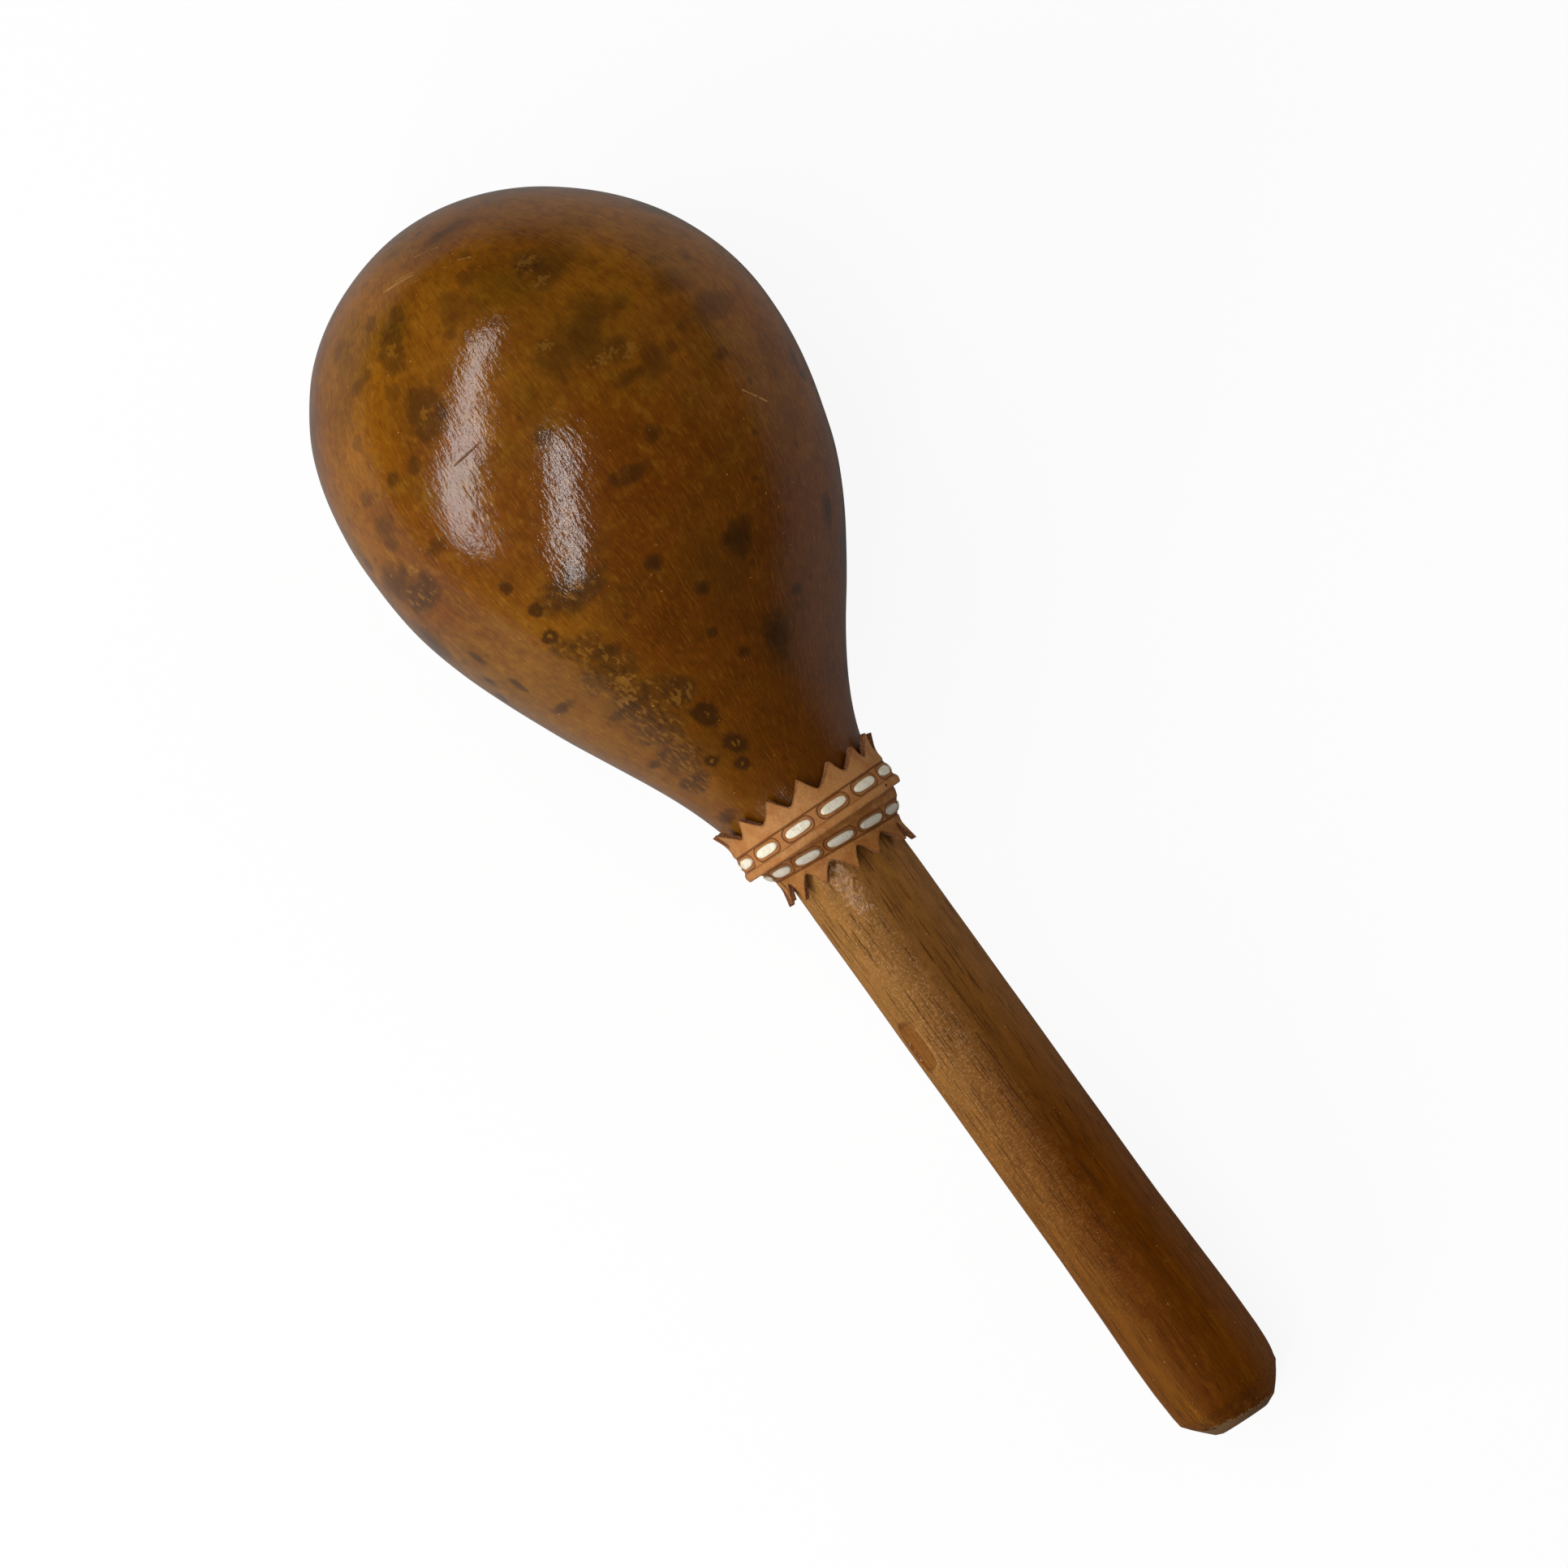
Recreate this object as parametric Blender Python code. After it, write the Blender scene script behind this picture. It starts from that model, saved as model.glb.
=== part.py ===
"""A gourd maraca, lying on its side: gourd, handle, laced leather collar and loose seeds.

The pieces of the instrument are modelled upright, with the handle's butt at the origin and the
gourd on top, then laid down together by one parent empty. In that upright frame +X becomes the
side that faces up when the maraca lies down. The seeds lie in the gourd by gravity, so they are
placed in the laid-down frame. Lengths are in metres.
"""

import math

import bmesh
import bpy
from mathutils import Matrix, Vector
from mathutils.bvhtree import BVHTree

MM = 0.001

# Fits
CLEARANCE = 0.3 * MM

# Handle, from its butt up
GRIP_LENGTH = 144.6 * MM
HANDLE_DIAMETER = 24.0 * MM
SWELL_DIAMETER = 25.0 * MM
SWELL_START = 15.0 * MM
SWELL_END = 24.0 * MM
SWELL_FADE = 24.0 * MM
BUTT_FACE_DIAMETER = 6.0 * MM
CHAMFER_CROWN_DIAMETER = 14.8 * MM
CHAMFER_CROWN_HEIGHT = 1.6 * MM
CHAMFER_TOP_DIAMETER = 24.1 * MM
CHAMFER_TOP_HEIGHT = 7.0 * MM
BUTT_CUT_DEPTH = 0.6 * MM
BUTT_CUT_TILT = math.radians(6.0)
BUTT_CUT_HEADING = math.radians(-25.0)
TENON_LENGTH = 22.0 * MM
TENON_CHAMFER = 1.5 * MM

# Glue in the neck
GLUE_THICKNESS = 0.6 * MM
GLUE_HEIGHT = 13.0 * MM

# Gourd
GOURD_LENGTH = 147.2 * MM
GOURD_DIAMETER = 97.8 * MM
BELLY_HEIGHT = 95.4 * MM
NECK_WALL = 1.8 * MM
SHELL_WALL = 3.2 * MM
NECK_REACH = 32.3 * MM
NECK_FLARE = 1.3 * MM
SHOULDER_REACH = 47.1 * MM
SWAY = 4.4 * MM
SWAY_START = 9.8 * MM
SWAY_RISE = 56.0 * MM
CROWN_SWAY_SHARE = 0.45

# Leather collar: heights are measured from the neck's cut end, upwards
LEATHER = 1.3 * MM
SEAM_GAP = 0.6 * MM
UPPER_SEAM_ANGLE = math.radians(-83.0)
LOWER_SEAM_ANGLE = math.radians(-69.0)
UPPER_EDGE = 0.5 * MM
UPPER_ROW = 4.1 * MM
UPPER_BAND_END = 5.9 * MM
UPPER_VALLEY = 8.7 * MM
UPPER_TOOTH = 3.9 * MM
UPPER_TEETH = 16
LOWER_EDGE = 2.3 * MM
LOWER_BEND = -0.3 * MM
LOWER_ROW = -2.1 * MM
LOWER_VALLEY = -4.6 * MM
LOWER_TOOTH = 4.5 * MM
LOWER_TEETH = 14

# Lace
LACE_THICKNESS = 0.5 * MM
LACE_WIDTH = 1.7 * MM
LACE_TAIL = 0.8 * MM
STITCH_SHARE = 0.74
UPPER_STITCHES = 13
LOWER_STITCHES = 12

# Seeds
SEED_DIAMETER = 5.6 * MM
SEED_RINGS = 3

# Facets
GOURD_SIDES = 40
HANDLE_SIDES = 32
FLANK_STEPS = 11
DOME_STEPS = 7
SMOOTH_ANGLE = math.radians(30)

# Accuracy of the sums
MERGE_DISTANCE = 0.001 * MM
SLOPE_STEP = 0.001
HALVINGS = 45

# Worked out from the sizes above
HANDLE_RADIUS = HANDLE_DIAMETER / 2
BORE_RADIUS = HANDLE_RADIUS + GLUE_THICKNESS + 2 * CLEARANCE
NECK_RADIUS = BORE_RADIUS + NECK_WALL
BELLY_RADIUS = GOURD_DIAMETER / 2
CROWN_HEIGHT = GRIP_LENGTH + GOURD_LENGTH
BELLY = GRIP_LENGTH + BELLY_HEIGHT
DOME_HEIGHT = CROWN_HEIGHT - BELLY
LACE_GAP = CLEARANCE + LACE_THICKNESS / 2
SEED_PITCH = SEED_DIAMETER + 2 * CLEARANCE


def smooth_step(share):
    share = min(max(share, 0.0), 1.0)
    return share * share * (3 - 2 * share)


def sway(height):
    """How far the gourd's middle leans to +Y at a height: a hand-grown gourd isn't straight."""
    rise = smooth_step((height - GRIP_LENGTH - SWAY_START) / SWAY_RISE)
    fall = smooth_step((height - BELLY) / DOME_HEIGHT)
    return SWAY * rise * (1 - (1 - CROWN_SWAY_SHARE) * fall)


def bezier(points, share):
    a, b, c, d = (Vector(point) for point in points)
    rest = 1 - share
    return rest**3 * a + 3 * rest**2 * share * b + 3 * rest * share**2 * c + share**3 * d


def flank_point(share):
    """The gourd's outside from the neck's cut end (share 0) to the belly (share 1)."""
    return bezier(
        [
            (NECK_RADIUS, GRIP_LENGTH),
            (NECK_RADIUS + NECK_FLARE, GRIP_LENGTH + NECK_REACH),
            (BELLY_RADIUS, BELLY - SHOULDER_REACH),
            (BELLY_RADIUS, BELLY),
        ],
        share,
    )


def dome_point(share, wall=0.0):
    """The gourd's top from the belly (share 0) to the crown (share 1), inside by a wall."""
    turn = share * math.pi / 2
    return Vector(
        ((BELLY_RADIUS - wall) * math.cos(turn), BELLY + (DOME_HEIGHT - wall) * math.sin(turn))
    )


def inner_flank_point(share):
    along = flank_point(share + SLOPE_STEP) - flank_point(share - SLOPE_STEP)
    inward = Vector((-along.y, along.x)).normalized()
    return flank_point(share) + SHELL_WALL * inward


def share_at(curve, target, index):
    """The share at which a rising curve's radius (index 0) or height (index 1) is the target."""
    low, high = 0.0, 1.0
    for _ in range(HALVINGS):
        middle = (low + high) / 2
        if curve(middle)[index] < target:
            low = middle
        else:
            high = middle
    return high


def neck_radius_at(height):
    return flank_point(share_at(flank_point, height, 1)).x


FLARE_SHARE = share_at(inner_flank_point, BORE_RADIUS, 0)


def inner_wall():
    """The inside of the gourd as radius and height, from the neck's cut end to the belly."""
    points = [Vector((BORE_RADIUS, GRIP_LENGTH))]
    for step in range(FLANK_STEPS):
        share = FLARE_SHARE + (1 - FLARE_SHARE) * step / FLANK_STEPS
        points.append(inner_flank_point(share))
    return points


def add_material(name, color, roughness):
    material = bpy.data.materials.new(name)
    material.use_nodes = True
    shader = material.node_tree.nodes["Principled BSDF"]
    shader.inputs["Base Color"].default_value = (*color, 1.0)
    shader.inputs["Roughness"].default_value = roughness
    shader.inputs["Metallic"].default_value = 0.0
    return material


def add_object(name, bm, material, parent=None):
    bmesh.ops.recalc_face_normals(bm, faces=bm.faces)
    if bm.calc_volume(signed=True) < 0:
        bmesh.ops.reverse_faces(bm, faces=bm.faces)
    mesh = bpy.data.meshes.new(name)
    bm.to_mesh(mesh)
    bm.free()
    mesh.materials.append(material)
    mesh.shade_smooth()
    mesh.set_sharp_from_angle(angle=SMOOTH_ANGLE)
    piece = bpy.data.objects.new(name, mesh)
    piece.parent = parent
    bpy.context.collection.objects.link(piece)
    return piece


def turned(outline, sides, closed=False):
    """A solid turned about the Z axis from points of radius and height, flat side at -X."""
    bm = bmesh.new()
    start = math.pi / sides
    ring = [bm.verts.new((r * math.cos(start), r * math.sin(start), z)) for r, z in outline]
    edges = [bm.edges.new(pair) for pair in zip(ring, ring[1:])]
    if closed:
        edges.append(bm.edges.new((ring[-1], ring[0])))
    bmesh.ops.spin(
        bm,
        geom=ring + edges,
        cent=(0, 0, 0),
        axis=(0, 0, 1),
        angle=2 * math.pi,
        steps=sides,
        use_merge=True,
    )
    bmesh.ops.remove_doubles(bm, verts=bm.verts, dist=MERGE_DISTANCE)
    return bm


def make_gourd_shell(parent):
    dome = [dome_point(step / DOME_STEPS, SHELL_WALL) for step in range(DOME_STEPS)]
    inside = inner_wall() + dome + [Vector((0, CROWN_HEIGHT - SHELL_WALL))]
    outside = [flank_point(step / FLANK_STEPS) for step in range(FLANK_STEPS)]
    outside += [dome_point(step / DOME_STEPS) for step in range(DOME_STEPS)]
    outside += [Vector((0, CROWN_HEIGHT))]
    bm = turned(inside[::-1] + outside, GOURD_SIDES)
    for vert in bm.verts:
        vert.co.y += sway(vert.co.z)
    return add_object("gourd_shell", bm, add_material("varnished_gourd", (0.23, 0.10, 0.03), 0.25), parent)


def make_handle(parent):
    tenon_top = GRIP_LENGTH + TENON_LENGTH
    outline = [
        (0, 0),
        (BUTT_FACE_DIAMETER / 2, 0),
        (CHAMFER_CROWN_DIAMETER / 2, CHAMFER_CROWN_HEIGHT),
        (CHAMFER_TOP_DIAMETER / 2, CHAMFER_TOP_HEIGHT),
        (SWELL_DIAMETER / 2, SWELL_START),
        (SWELL_DIAMETER / 2, SWELL_END),
        (HANDLE_RADIUS, SWELL_END + SWELL_FADE),
        (HANDLE_RADIUS, GRIP_LENGTH),
        (HANDLE_RADIUS, tenon_top - TENON_CHAMFER),
        (HANDLE_RADIUS - TENON_CHAMFER, tenon_top),
        (0, tenon_top),
    ]
    bm = turned(outline, HANDLE_SIDES)
    away = Vector((math.cos(BUTT_CUT_HEADING), math.sin(BUTT_CUT_HEADING), 0))
    down = away * math.sin(BUTT_CUT_TILT) - Vector((0, 0, math.cos(BUTT_CUT_TILT)))
    bmesh.ops.bisect_plane(
        bm,
        geom=bm.verts[:] + bm.edges[:] + bm.faces[:],
        plane_co=(0, 0, BUTT_CUT_DEPTH),
        plane_no=down,
        clear_outer=True,
    )
    bmesh.ops.holes_fill(bm, edges=[edge for edge in bm.edges if edge.is_boundary])
    return add_object("handle", bm, add_material("stained_wood", (0.20, 0.09, 0.03), 0.45), parent)


def make_neck_glue(parent):
    """Glue that fills the mouth of the neck round the tenon, with a bead on top."""
    inner = HANDLE_RADIUS + CLEARANCE
    top = GRIP_LENGTH + GLUE_HEIGHT
    outline = [(inner, GRIP_LENGTH + CLEARANCE)]
    outline.append((BORE_RADIUS - CLEARANCE, GRIP_LENGTH + CLEARANCE))
    outline += [(r - CLEARANCE, z) for r, z in inner_wall()[1:] if z < top]
    outline.append((inner + GLUE_THICKNESS, top))
    outline.append((inner, top))
    bm = turned(outline, GOURD_SIDES, closed=True)
    return add_object("neck_glue", bm, add_material("dried_glue", (0.55, 0.38, 0.16), 0.3), parent)


class Surface:
    """The inner face of a wrapped leather strip, as points of radius and height.

    A place on the strip is an angle round the handle, a distance along the points from the plain
    edge, and a lift away from the face.
    """

    def __init__(self, points):
        self.points = [Vector(point) for point in points]
        self.distances = [0.0]
        for a, b in zip(self.points, self.points[1:]):
            self.distances.append(self.distances[-1] + (b - a).length)

    def segment(self, distance):
        for index in range(len(self.points) - 2):
            if distance < self.distances[index + 1]:
                return index
        return len(self.points) - 2

    def distance_at(self, height):
        """The distance along the strip at which it passes a height."""
        for index, (a, b) in enumerate(zip(self.points, self.points[1:])):
            share = (height - a.y) / (b.y - a.y)
            if 0 <= share <= 1:
                return self.distances[index] + share * (b - a).length
        raise ValueError("the strip does not reach that height")

    def normal(self, index):
        along = (self.points[index + 1] - self.points[index]).normalized()
        across = Vector((along.y, -along.x))
        return across if across.x > 0 else -across

    def place(self, angle, distance, lift):
        index = self.segment(distance)
        share = distance - self.distances[index]
        along = (self.points[index + 1] - self.points[index]).normalized()
        normal = self.normal(index)
        if index and share < MERGE_DISTANCE:
            before = self.normal(index - 1)
            normal = (normal + before) / (1 + normal.dot(before))
        spot = self.points[index] + along * share + normal * lift
        return Vector((spot.x * math.cos(angle), spot.x * math.sin(angle), spot.y))


class Stitching:
    """Angles of the stitches and slits along a strip, which starts and ends at a seam."""

    def __init__(self, surface, row, count, seam):
        self.row = surface.distance_at(row)
        self.radius = surface.place(0.0, self.row, LEATHER).x
        self.start = seam + SEAM_GAP / 2 / self.radius
        self.end = seam + 2 * math.pi - SEAM_GAP / 2 / self.radius
        self.pitch = (self.end - self.start) / count
        self.middles = [self.start + (index + 0.5) * self.pitch for index in range(count)]
        self.half_stitch = self.pitch * STITCH_SHARE / 2

    def slits(self):
        half_width = (LACE_THICKNESS / 2 + CLEARANCE) / self.radius
        for middle in self.middles:
            for slit in (middle - self.half_stitch, middle + self.half_stitch):
                yield slit - half_width, slit + half_width


def make_collar(name, surface, stitching, teeth, parent):
    """A leather strip: cut flat with slits and pinked teeth, then wrapped round the neck."""
    half_slit = LACE_WIDTH / 2 + CLEARANCE
    slit_rows = (stitching.row - half_slit, stitching.row + half_slit)
    rows = sorted({*surface.distances[:-1], *slit_rows})
    tip_row = surface.distances[-1]
    slits = list(stitching.slits())
    tooth_angle = (stitching.end - stitching.start) / teeth
    columns = [stitching.start + index * tooth_angle / 2 for index in range(2 * teeth)] + [stitching.end]
    columns = sorted(columns + [edge for slit in slits for edge in slit])

    bm = bmesh.new()
    grid = [[bm.verts.new((angle, row, 0)) for angle in columns] for row in rows]
    for index, (left, right) in enumerate(zip(columns, columns[1:])):
        in_slit = any(low <= (left + right) / 2 <= high for low, high in slits)
        for low_row, high_row, low, high in zip(rows, rows[1:], grid, grid[1:]):
            if not (in_slit and slit_rows[0] <= (low_row + high_row) / 2 <= slit_rows[1]):
                bm.faces.new((low[index], low[index + 1], high[index + 1], high[index]))
    for tooth in range(teeth):
        tip = bm.verts.new((stitching.start + (tooth + 0.5) * tooth_angle, tip_row, 0))
        for index, (left, right) in enumerate(zip(columns, columns[1:])):
            if int(((left + right) / 2 - stitching.start) / tooth_angle) == tooth:
                bm.faces.new((grid[-1][index], grid[-1][index + 1], tip))
    raised = bmesh.ops.extrude_face_region(bm, geom=bm.faces[:])["geom"]
    raised_verts = [part for part in raised if isinstance(part, bmesh.types.BMVert)]
    bmesh.ops.translate(bm, verts=raised_verts, vec=(0, 0, LEATHER))
    for vert in bm.verts:
        vert.co = surface.place(*vert.co)
    return add_object(name, bm, add_material(name + "_leather", (0.42, 0.20, 0.07), 0.6), parent)


def make_lace(name, surface, stitching, parent):
    """A flat lace that goes in and out of a strip's slits, from one side of the seam to the other."""
    over = LEATHER + LACE_GAP
    under = -LACE_GAP
    tail = LACE_TAIL / stitching.radius
    path = [(stitching.middles[0] - stitching.half_stitch - tail, under)]
    for middle in stitching.middles:
        for share, lift in ((-1, under), (-1, over), (-1 / 3, over), (1 / 3, over), (1, over), (1, under)):
            path.append((middle + share * stitching.half_stitch, lift))
    path.append((stitching.middles[-1] + stitching.half_stitch + tail, under))

    bm = bmesh.new()
    flat = [Vector((angle * stitching.radius, lift)) for angle, lift in path]
    rings = []
    for index, point in enumerate(flat):
        before = (point - flat[index - 1]).normalized() if index else None
        after = (flat[index + 1] - point).normalized() if index < len(flat) - 1 else None
        normals = [Vector((-way.y, way.x)) for way in (before, after) if way]
        side = sum(normals, Vector((0, 0)))
        side = side / normals[0].dot(side)
        ring = []
        for thick, wide in ((-1, -1), (1, -1), (1, 1), (-1, 1)):
            spot = point + side * (thick * LACE_THICKNESS / 2)
            distance = stitching.row + wide * LACE_WIDTH / 2
            ring.append(bm.verts.new(surface.place(spot.x / stitching.radius, distance, spot.y)))
        rings.append(ring)
    for a, b in zip(rings, rings[1:]):
        for side in range(4):
            bm.faces.new((a[side], a[side - 1], b[side - 1], b[side]))
    bm.faces.new(rings[0])
    bm.faces.new(rings[-1])
    return add_object(name, bm, add_material(name + "_white", (0.85, 0.83, 0.78), 0.6), parent)


def wrapped_radius(radius, teeth):
    """The radius of a strip's corners when its flats, two to a tooth, stay clear of a radius."""
    return (radius + CLEARANCE) / math.cos(math.pi / (2 * teeth))


def upper_surface():
    """Over the lower strip at its free edge, then in to the neck and out along its flare."""
    lower_outside = lower_surface().points[0].x + LEATHER
    over_lower = wrapped_radius(lower_outside, UPPER_TEETH)
    valley = GRIP_LENGTH + UPPER_VALLEY
    tip = valley + UPPER_TOOTH
    return Surface(
        [
            (over_lower, GRIP_LENGTH + UPPER_EDGE),
            (over_lower, GRIP_LENGTH + UPPER_BAND_END),
            (wrapped_radius(neck_radius_at(valley), UPPER_TEETH), valley),
            (wrapped_radius(neck_radius_at(tip), UPPER_TEETH), tip),
        ]
    )


def lower_surface():
    """Round the neck's end, down over the step and onto the handle."""
    top = GRIP_LENGTH + LOWER_EDGE
    valley = GRIP_LENGTH + LOWER_VALLEY
    on_handle = wrapped_radius(HANDLE_RADIUS, LOWER_TEETH)
    return Surface(
        [
            (wrapped_radius(neck_radius_at(top), LOWER_TEETH), top),
            (wrapped_radius(NECK_RADIUS, LOWER_TEETH), GRIP_LENGTH + LOWER_BEND),
            (on_handle, valley),
            (on_handle, valley - LOWER_TOOTH),
        ]
    )


def lay_down(axis, shell, handle):
    """Tip the upright maraca on its side so that gourd and butt both touch the ground."""

    def lowest(piece, tilt):
        return min(v.co.x * math.cos(tilt) + v.co.z * math.sin(tilt) for v in piece.data.vertices)

    low, high = 0.0, math.pi / 4
    for _ in range(HALVINGS):
        tilt = (low + high) / 2
        if lowest(shell, tilt) < lowest(handle, tilt):
            low = tilt
        else:
            high = tilt
    turn = Matrix.Rotation(tilt - math.pi / 2, 4, "Y")
    corners = [turn @ v.co for piece in (shell, handle) for v in piece.data.vertices]
    middle_x = (min(c.x for c in corners) + max(c.x for c in corners)) / 2
    middle_y = (min(c.y for c in corners) + max(c.y for c in corners)) / 2
    bottom = min(c.z for c in corners)
    axis.matrix_world = Matrix.Translation((-middle_x, -middle_y, -bottom)) @ turn


def make_seeds(axis, shell):
    """One layer of round seeds on the lowest part of the gourd's inner wall."""
    shell_world = [axis.matrix_world @ v.co for v in shell.data.vertices]
    wall = BVHTree.FromPolygons(shell_world, [face.vertices for face in shell.data.polygons])
    lowest = min(shell_world, key=lambda corner: corner.z)
    middle = Vector((lowest.x, (axis.matrix_world @ Vector((0, sway(BELLY), BELLY))).y))
    material = add_material("dry_seed", (0.03, 0.02, 0.015), 0.4)
    needed = SEED_DIAMETER / 2 + CLEARANCE
    number = 0
    for row in range(-SEED_RINGS, SEED_RINGS + 1):
        for column in range(-SEED_RINGS, SEED_RINGS + 1):
            if abs(row + column) > SEED_RINGS:
                continue
            number += 1
            x = middle.x + SEED_PITCH * (column + row / 2)
            y = middle.y + SEED_PITCH * row * math.sqrt(3) / 2
            low, high = SHELL_WALL, BELLY_RADIUS
            for _ in range(HALVINGS):
                z = (low + high) / 2
                if wall.find_nearest((x, y, z))[3] < needed:
                    low = z
                else:
                    high = z
            bm = bmesh.new()
            bmesh.ops.create_icosphere(bm, subdivisions=2, radius=SEED_DIAMETER / 2)
            add_object(f"seed_{number:02d}", bm, material).location = (x, y, high)


def main():
    for old in list(bpy.data.objects):
        bpy.data.objects.remove(old)
    axis = bpy.data.objects.new("maraca_axis", None)
    bpy.context.collection.objects.link(axis)

    shell = make_gourd_shell(axis)
    handle = make_handle(axis)
    make_neck_glue(axis)
    for name, surface, row, stitches, seam, teeth in (
        ("upper", upper_surface(), UPPER_ROW, UPPER_STITCHES, UPPER_SEAM_ANGLE, UPPER_TEETH),
        ("lower", lower_surface(), LOWER_ROW, LOWER_STITCHES, LOWER_SEAM_ANGLE, LOWER_TEETH),
    ):
        stitching = Stitching(surface, GRIP_LENGTH + row, stitches, seam)
        make_collar(name + "_collar", surface, stitching, teeth, axis)
        make_lace(name + "_lace", surface, stitching, axis)
    lay_down(axis, shell, handle)
    make_seeds(axis, shell)


main()
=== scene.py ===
"""The looks of a gourd maraca that lies on its side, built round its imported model.

The pieces are modelled upright, as the part is: the handle's butt at the origin and the gourd on top,
with +X the side that faces up when the maraca lies down and +Y the side that the gourd leans to.
UPRIGHT lays them down. Sizes are in millimetres until then, and in metres after it.
"""

import math
import random
from functools import cached_property

import bmesh
import bpy
import numpy
from mathutils import Matrix, Vector, noise


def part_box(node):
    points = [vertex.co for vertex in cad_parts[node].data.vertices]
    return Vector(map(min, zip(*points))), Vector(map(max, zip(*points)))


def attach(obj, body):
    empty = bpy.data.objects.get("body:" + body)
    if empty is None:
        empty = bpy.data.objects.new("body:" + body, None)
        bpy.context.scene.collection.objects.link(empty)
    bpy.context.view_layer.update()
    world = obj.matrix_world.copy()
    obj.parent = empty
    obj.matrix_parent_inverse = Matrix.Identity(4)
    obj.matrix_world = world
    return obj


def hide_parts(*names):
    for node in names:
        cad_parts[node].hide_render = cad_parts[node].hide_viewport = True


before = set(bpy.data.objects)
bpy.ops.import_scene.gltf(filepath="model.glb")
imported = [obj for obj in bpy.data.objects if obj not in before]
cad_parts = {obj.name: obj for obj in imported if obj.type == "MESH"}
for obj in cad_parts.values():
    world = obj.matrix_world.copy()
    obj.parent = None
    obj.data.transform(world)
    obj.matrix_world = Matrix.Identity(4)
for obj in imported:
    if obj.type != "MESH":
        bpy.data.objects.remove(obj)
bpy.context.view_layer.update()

# How the upright maraca is laid down
MM = 0.001
TILT = math.radians(9.256359)
BUTT = (0.1443006, -0.0044, 0.0107099)
UPRIGHT = Matrix.Translation(BUTT) @ Matrix.Rotation(TILT - math.pi / 2, 4, "Y") @ Matrix.Scale(MM, 4)

# Handle
GRIP_LENGTH = 144.6
HANDLE_RADIUS = 12.0
TENON_LENGTH = 22.0
TENON_CHAMFER = 1.5
BUTT_CUT_DEPTH = 0.6
BUTT_CUT_TILT = math.radians(6.0)
BUTT_CUT_HEADING = math.radians(-25.0)

# Gourd
NECK_RADIUS = 15.0
BORE_RADIUS = 13.2
BELLY_RADIUS = 48.9
BELLY = 240.0
CROWN = 291.8
DOME_HEIGHT = CROWN - BELLY
SHELL_WALL = 3.2
NECK_PULL = (16.3, 176.9)
BELLY_PULL = (BELLY_RADIUS, 192.9)
SWAY = 4.4
SWAY_START = 9.8
SWAY_LENGTH = 56
SWAY_LOSS = 0.55

# Camera, above the side that faces up
AIM = Vector((0.0, -1.1, 157.7))
EYE = AIM + Vector((1200.0, 0.0, 0.0))

# Leather and lace
LEATHER = 1.1
LACE_THICKNESS = 0.5
LACE_WIDTH = 1.9
SEAM_GAP = 0.6


def smooth_step(share):
    share = min(max(share, 0.0), 1.0)
    return share * share * (3 - 2 * share)


def ease(low, high, value):
    return smooth_step((value - low) / (high - low))


def polar(radius, turn, height=0):
    """A point at a radius from the upright axis, turned from the side that faces up."""
    return Vector((radius * math.cos(turn), radius * math.sin(turn), height))


def tone(red, green, blue):
    """A colour as it looks on a screen, 0 to 255, made linear for a shader."""
    parts = (part / 255 for part in (red, green, blue))
    return (*(p / 12.92 if p <= 0.04045 else ((p + 0.055) / 1.055) ** 2.4 for p in parts), 1.0)


# Materials


def sums(operation, swapped=False):
    """A method that adds a Math node to a value's finish."""

    def method(self, *others):
        values = (*others, self) if swapped else (self, *others)
        return self.finish.node("Math", {"operation": operation}, dict(enumerate(values)))

    return method


class Value:
    """A socket in a finish. Sums on it add Math nodes."""

    def __init__(self, finish, socket):
        self.finish = finish
        self.socket = socket

    __add__ = __radd__ = sums("ADD")
    __sub__ = sums("SUBTRACT")
    __rsub__ = sums("SUBTRACT", swapped=True)
    __mul__ = __rmul__ = sums("MULTIPLY")
    __truediv__ = sums("DIVIDE")
    __pow__ = sums("POWER")
    __abs__ = sums("ABSOLUTE")
    at_least = sums("MAXIMUM")
    at_most = sums("MINIMUM")
    fraction = sums("FRACT")
    sine = sums("SINE")
    turn_from = sums("ARCTAN2")

    def rise(self, low, high):
        """0 below low and 1 above high, smooth between. A high below low falls instead."""
        inputs = {0: self, 1: min(low, high), 2: max(low, high)}
        share = self.finish.node("MapRange", {"interpolation_type": "SMOOTHSTEP"}, inputs)
        return share if low < high else 1 - share

    def line(self, middle, half_width):
        """1 where the value is the middle, down to 0 at half a width from it."""
        return abs(self - middle).rise(half_width, 0)


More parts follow.
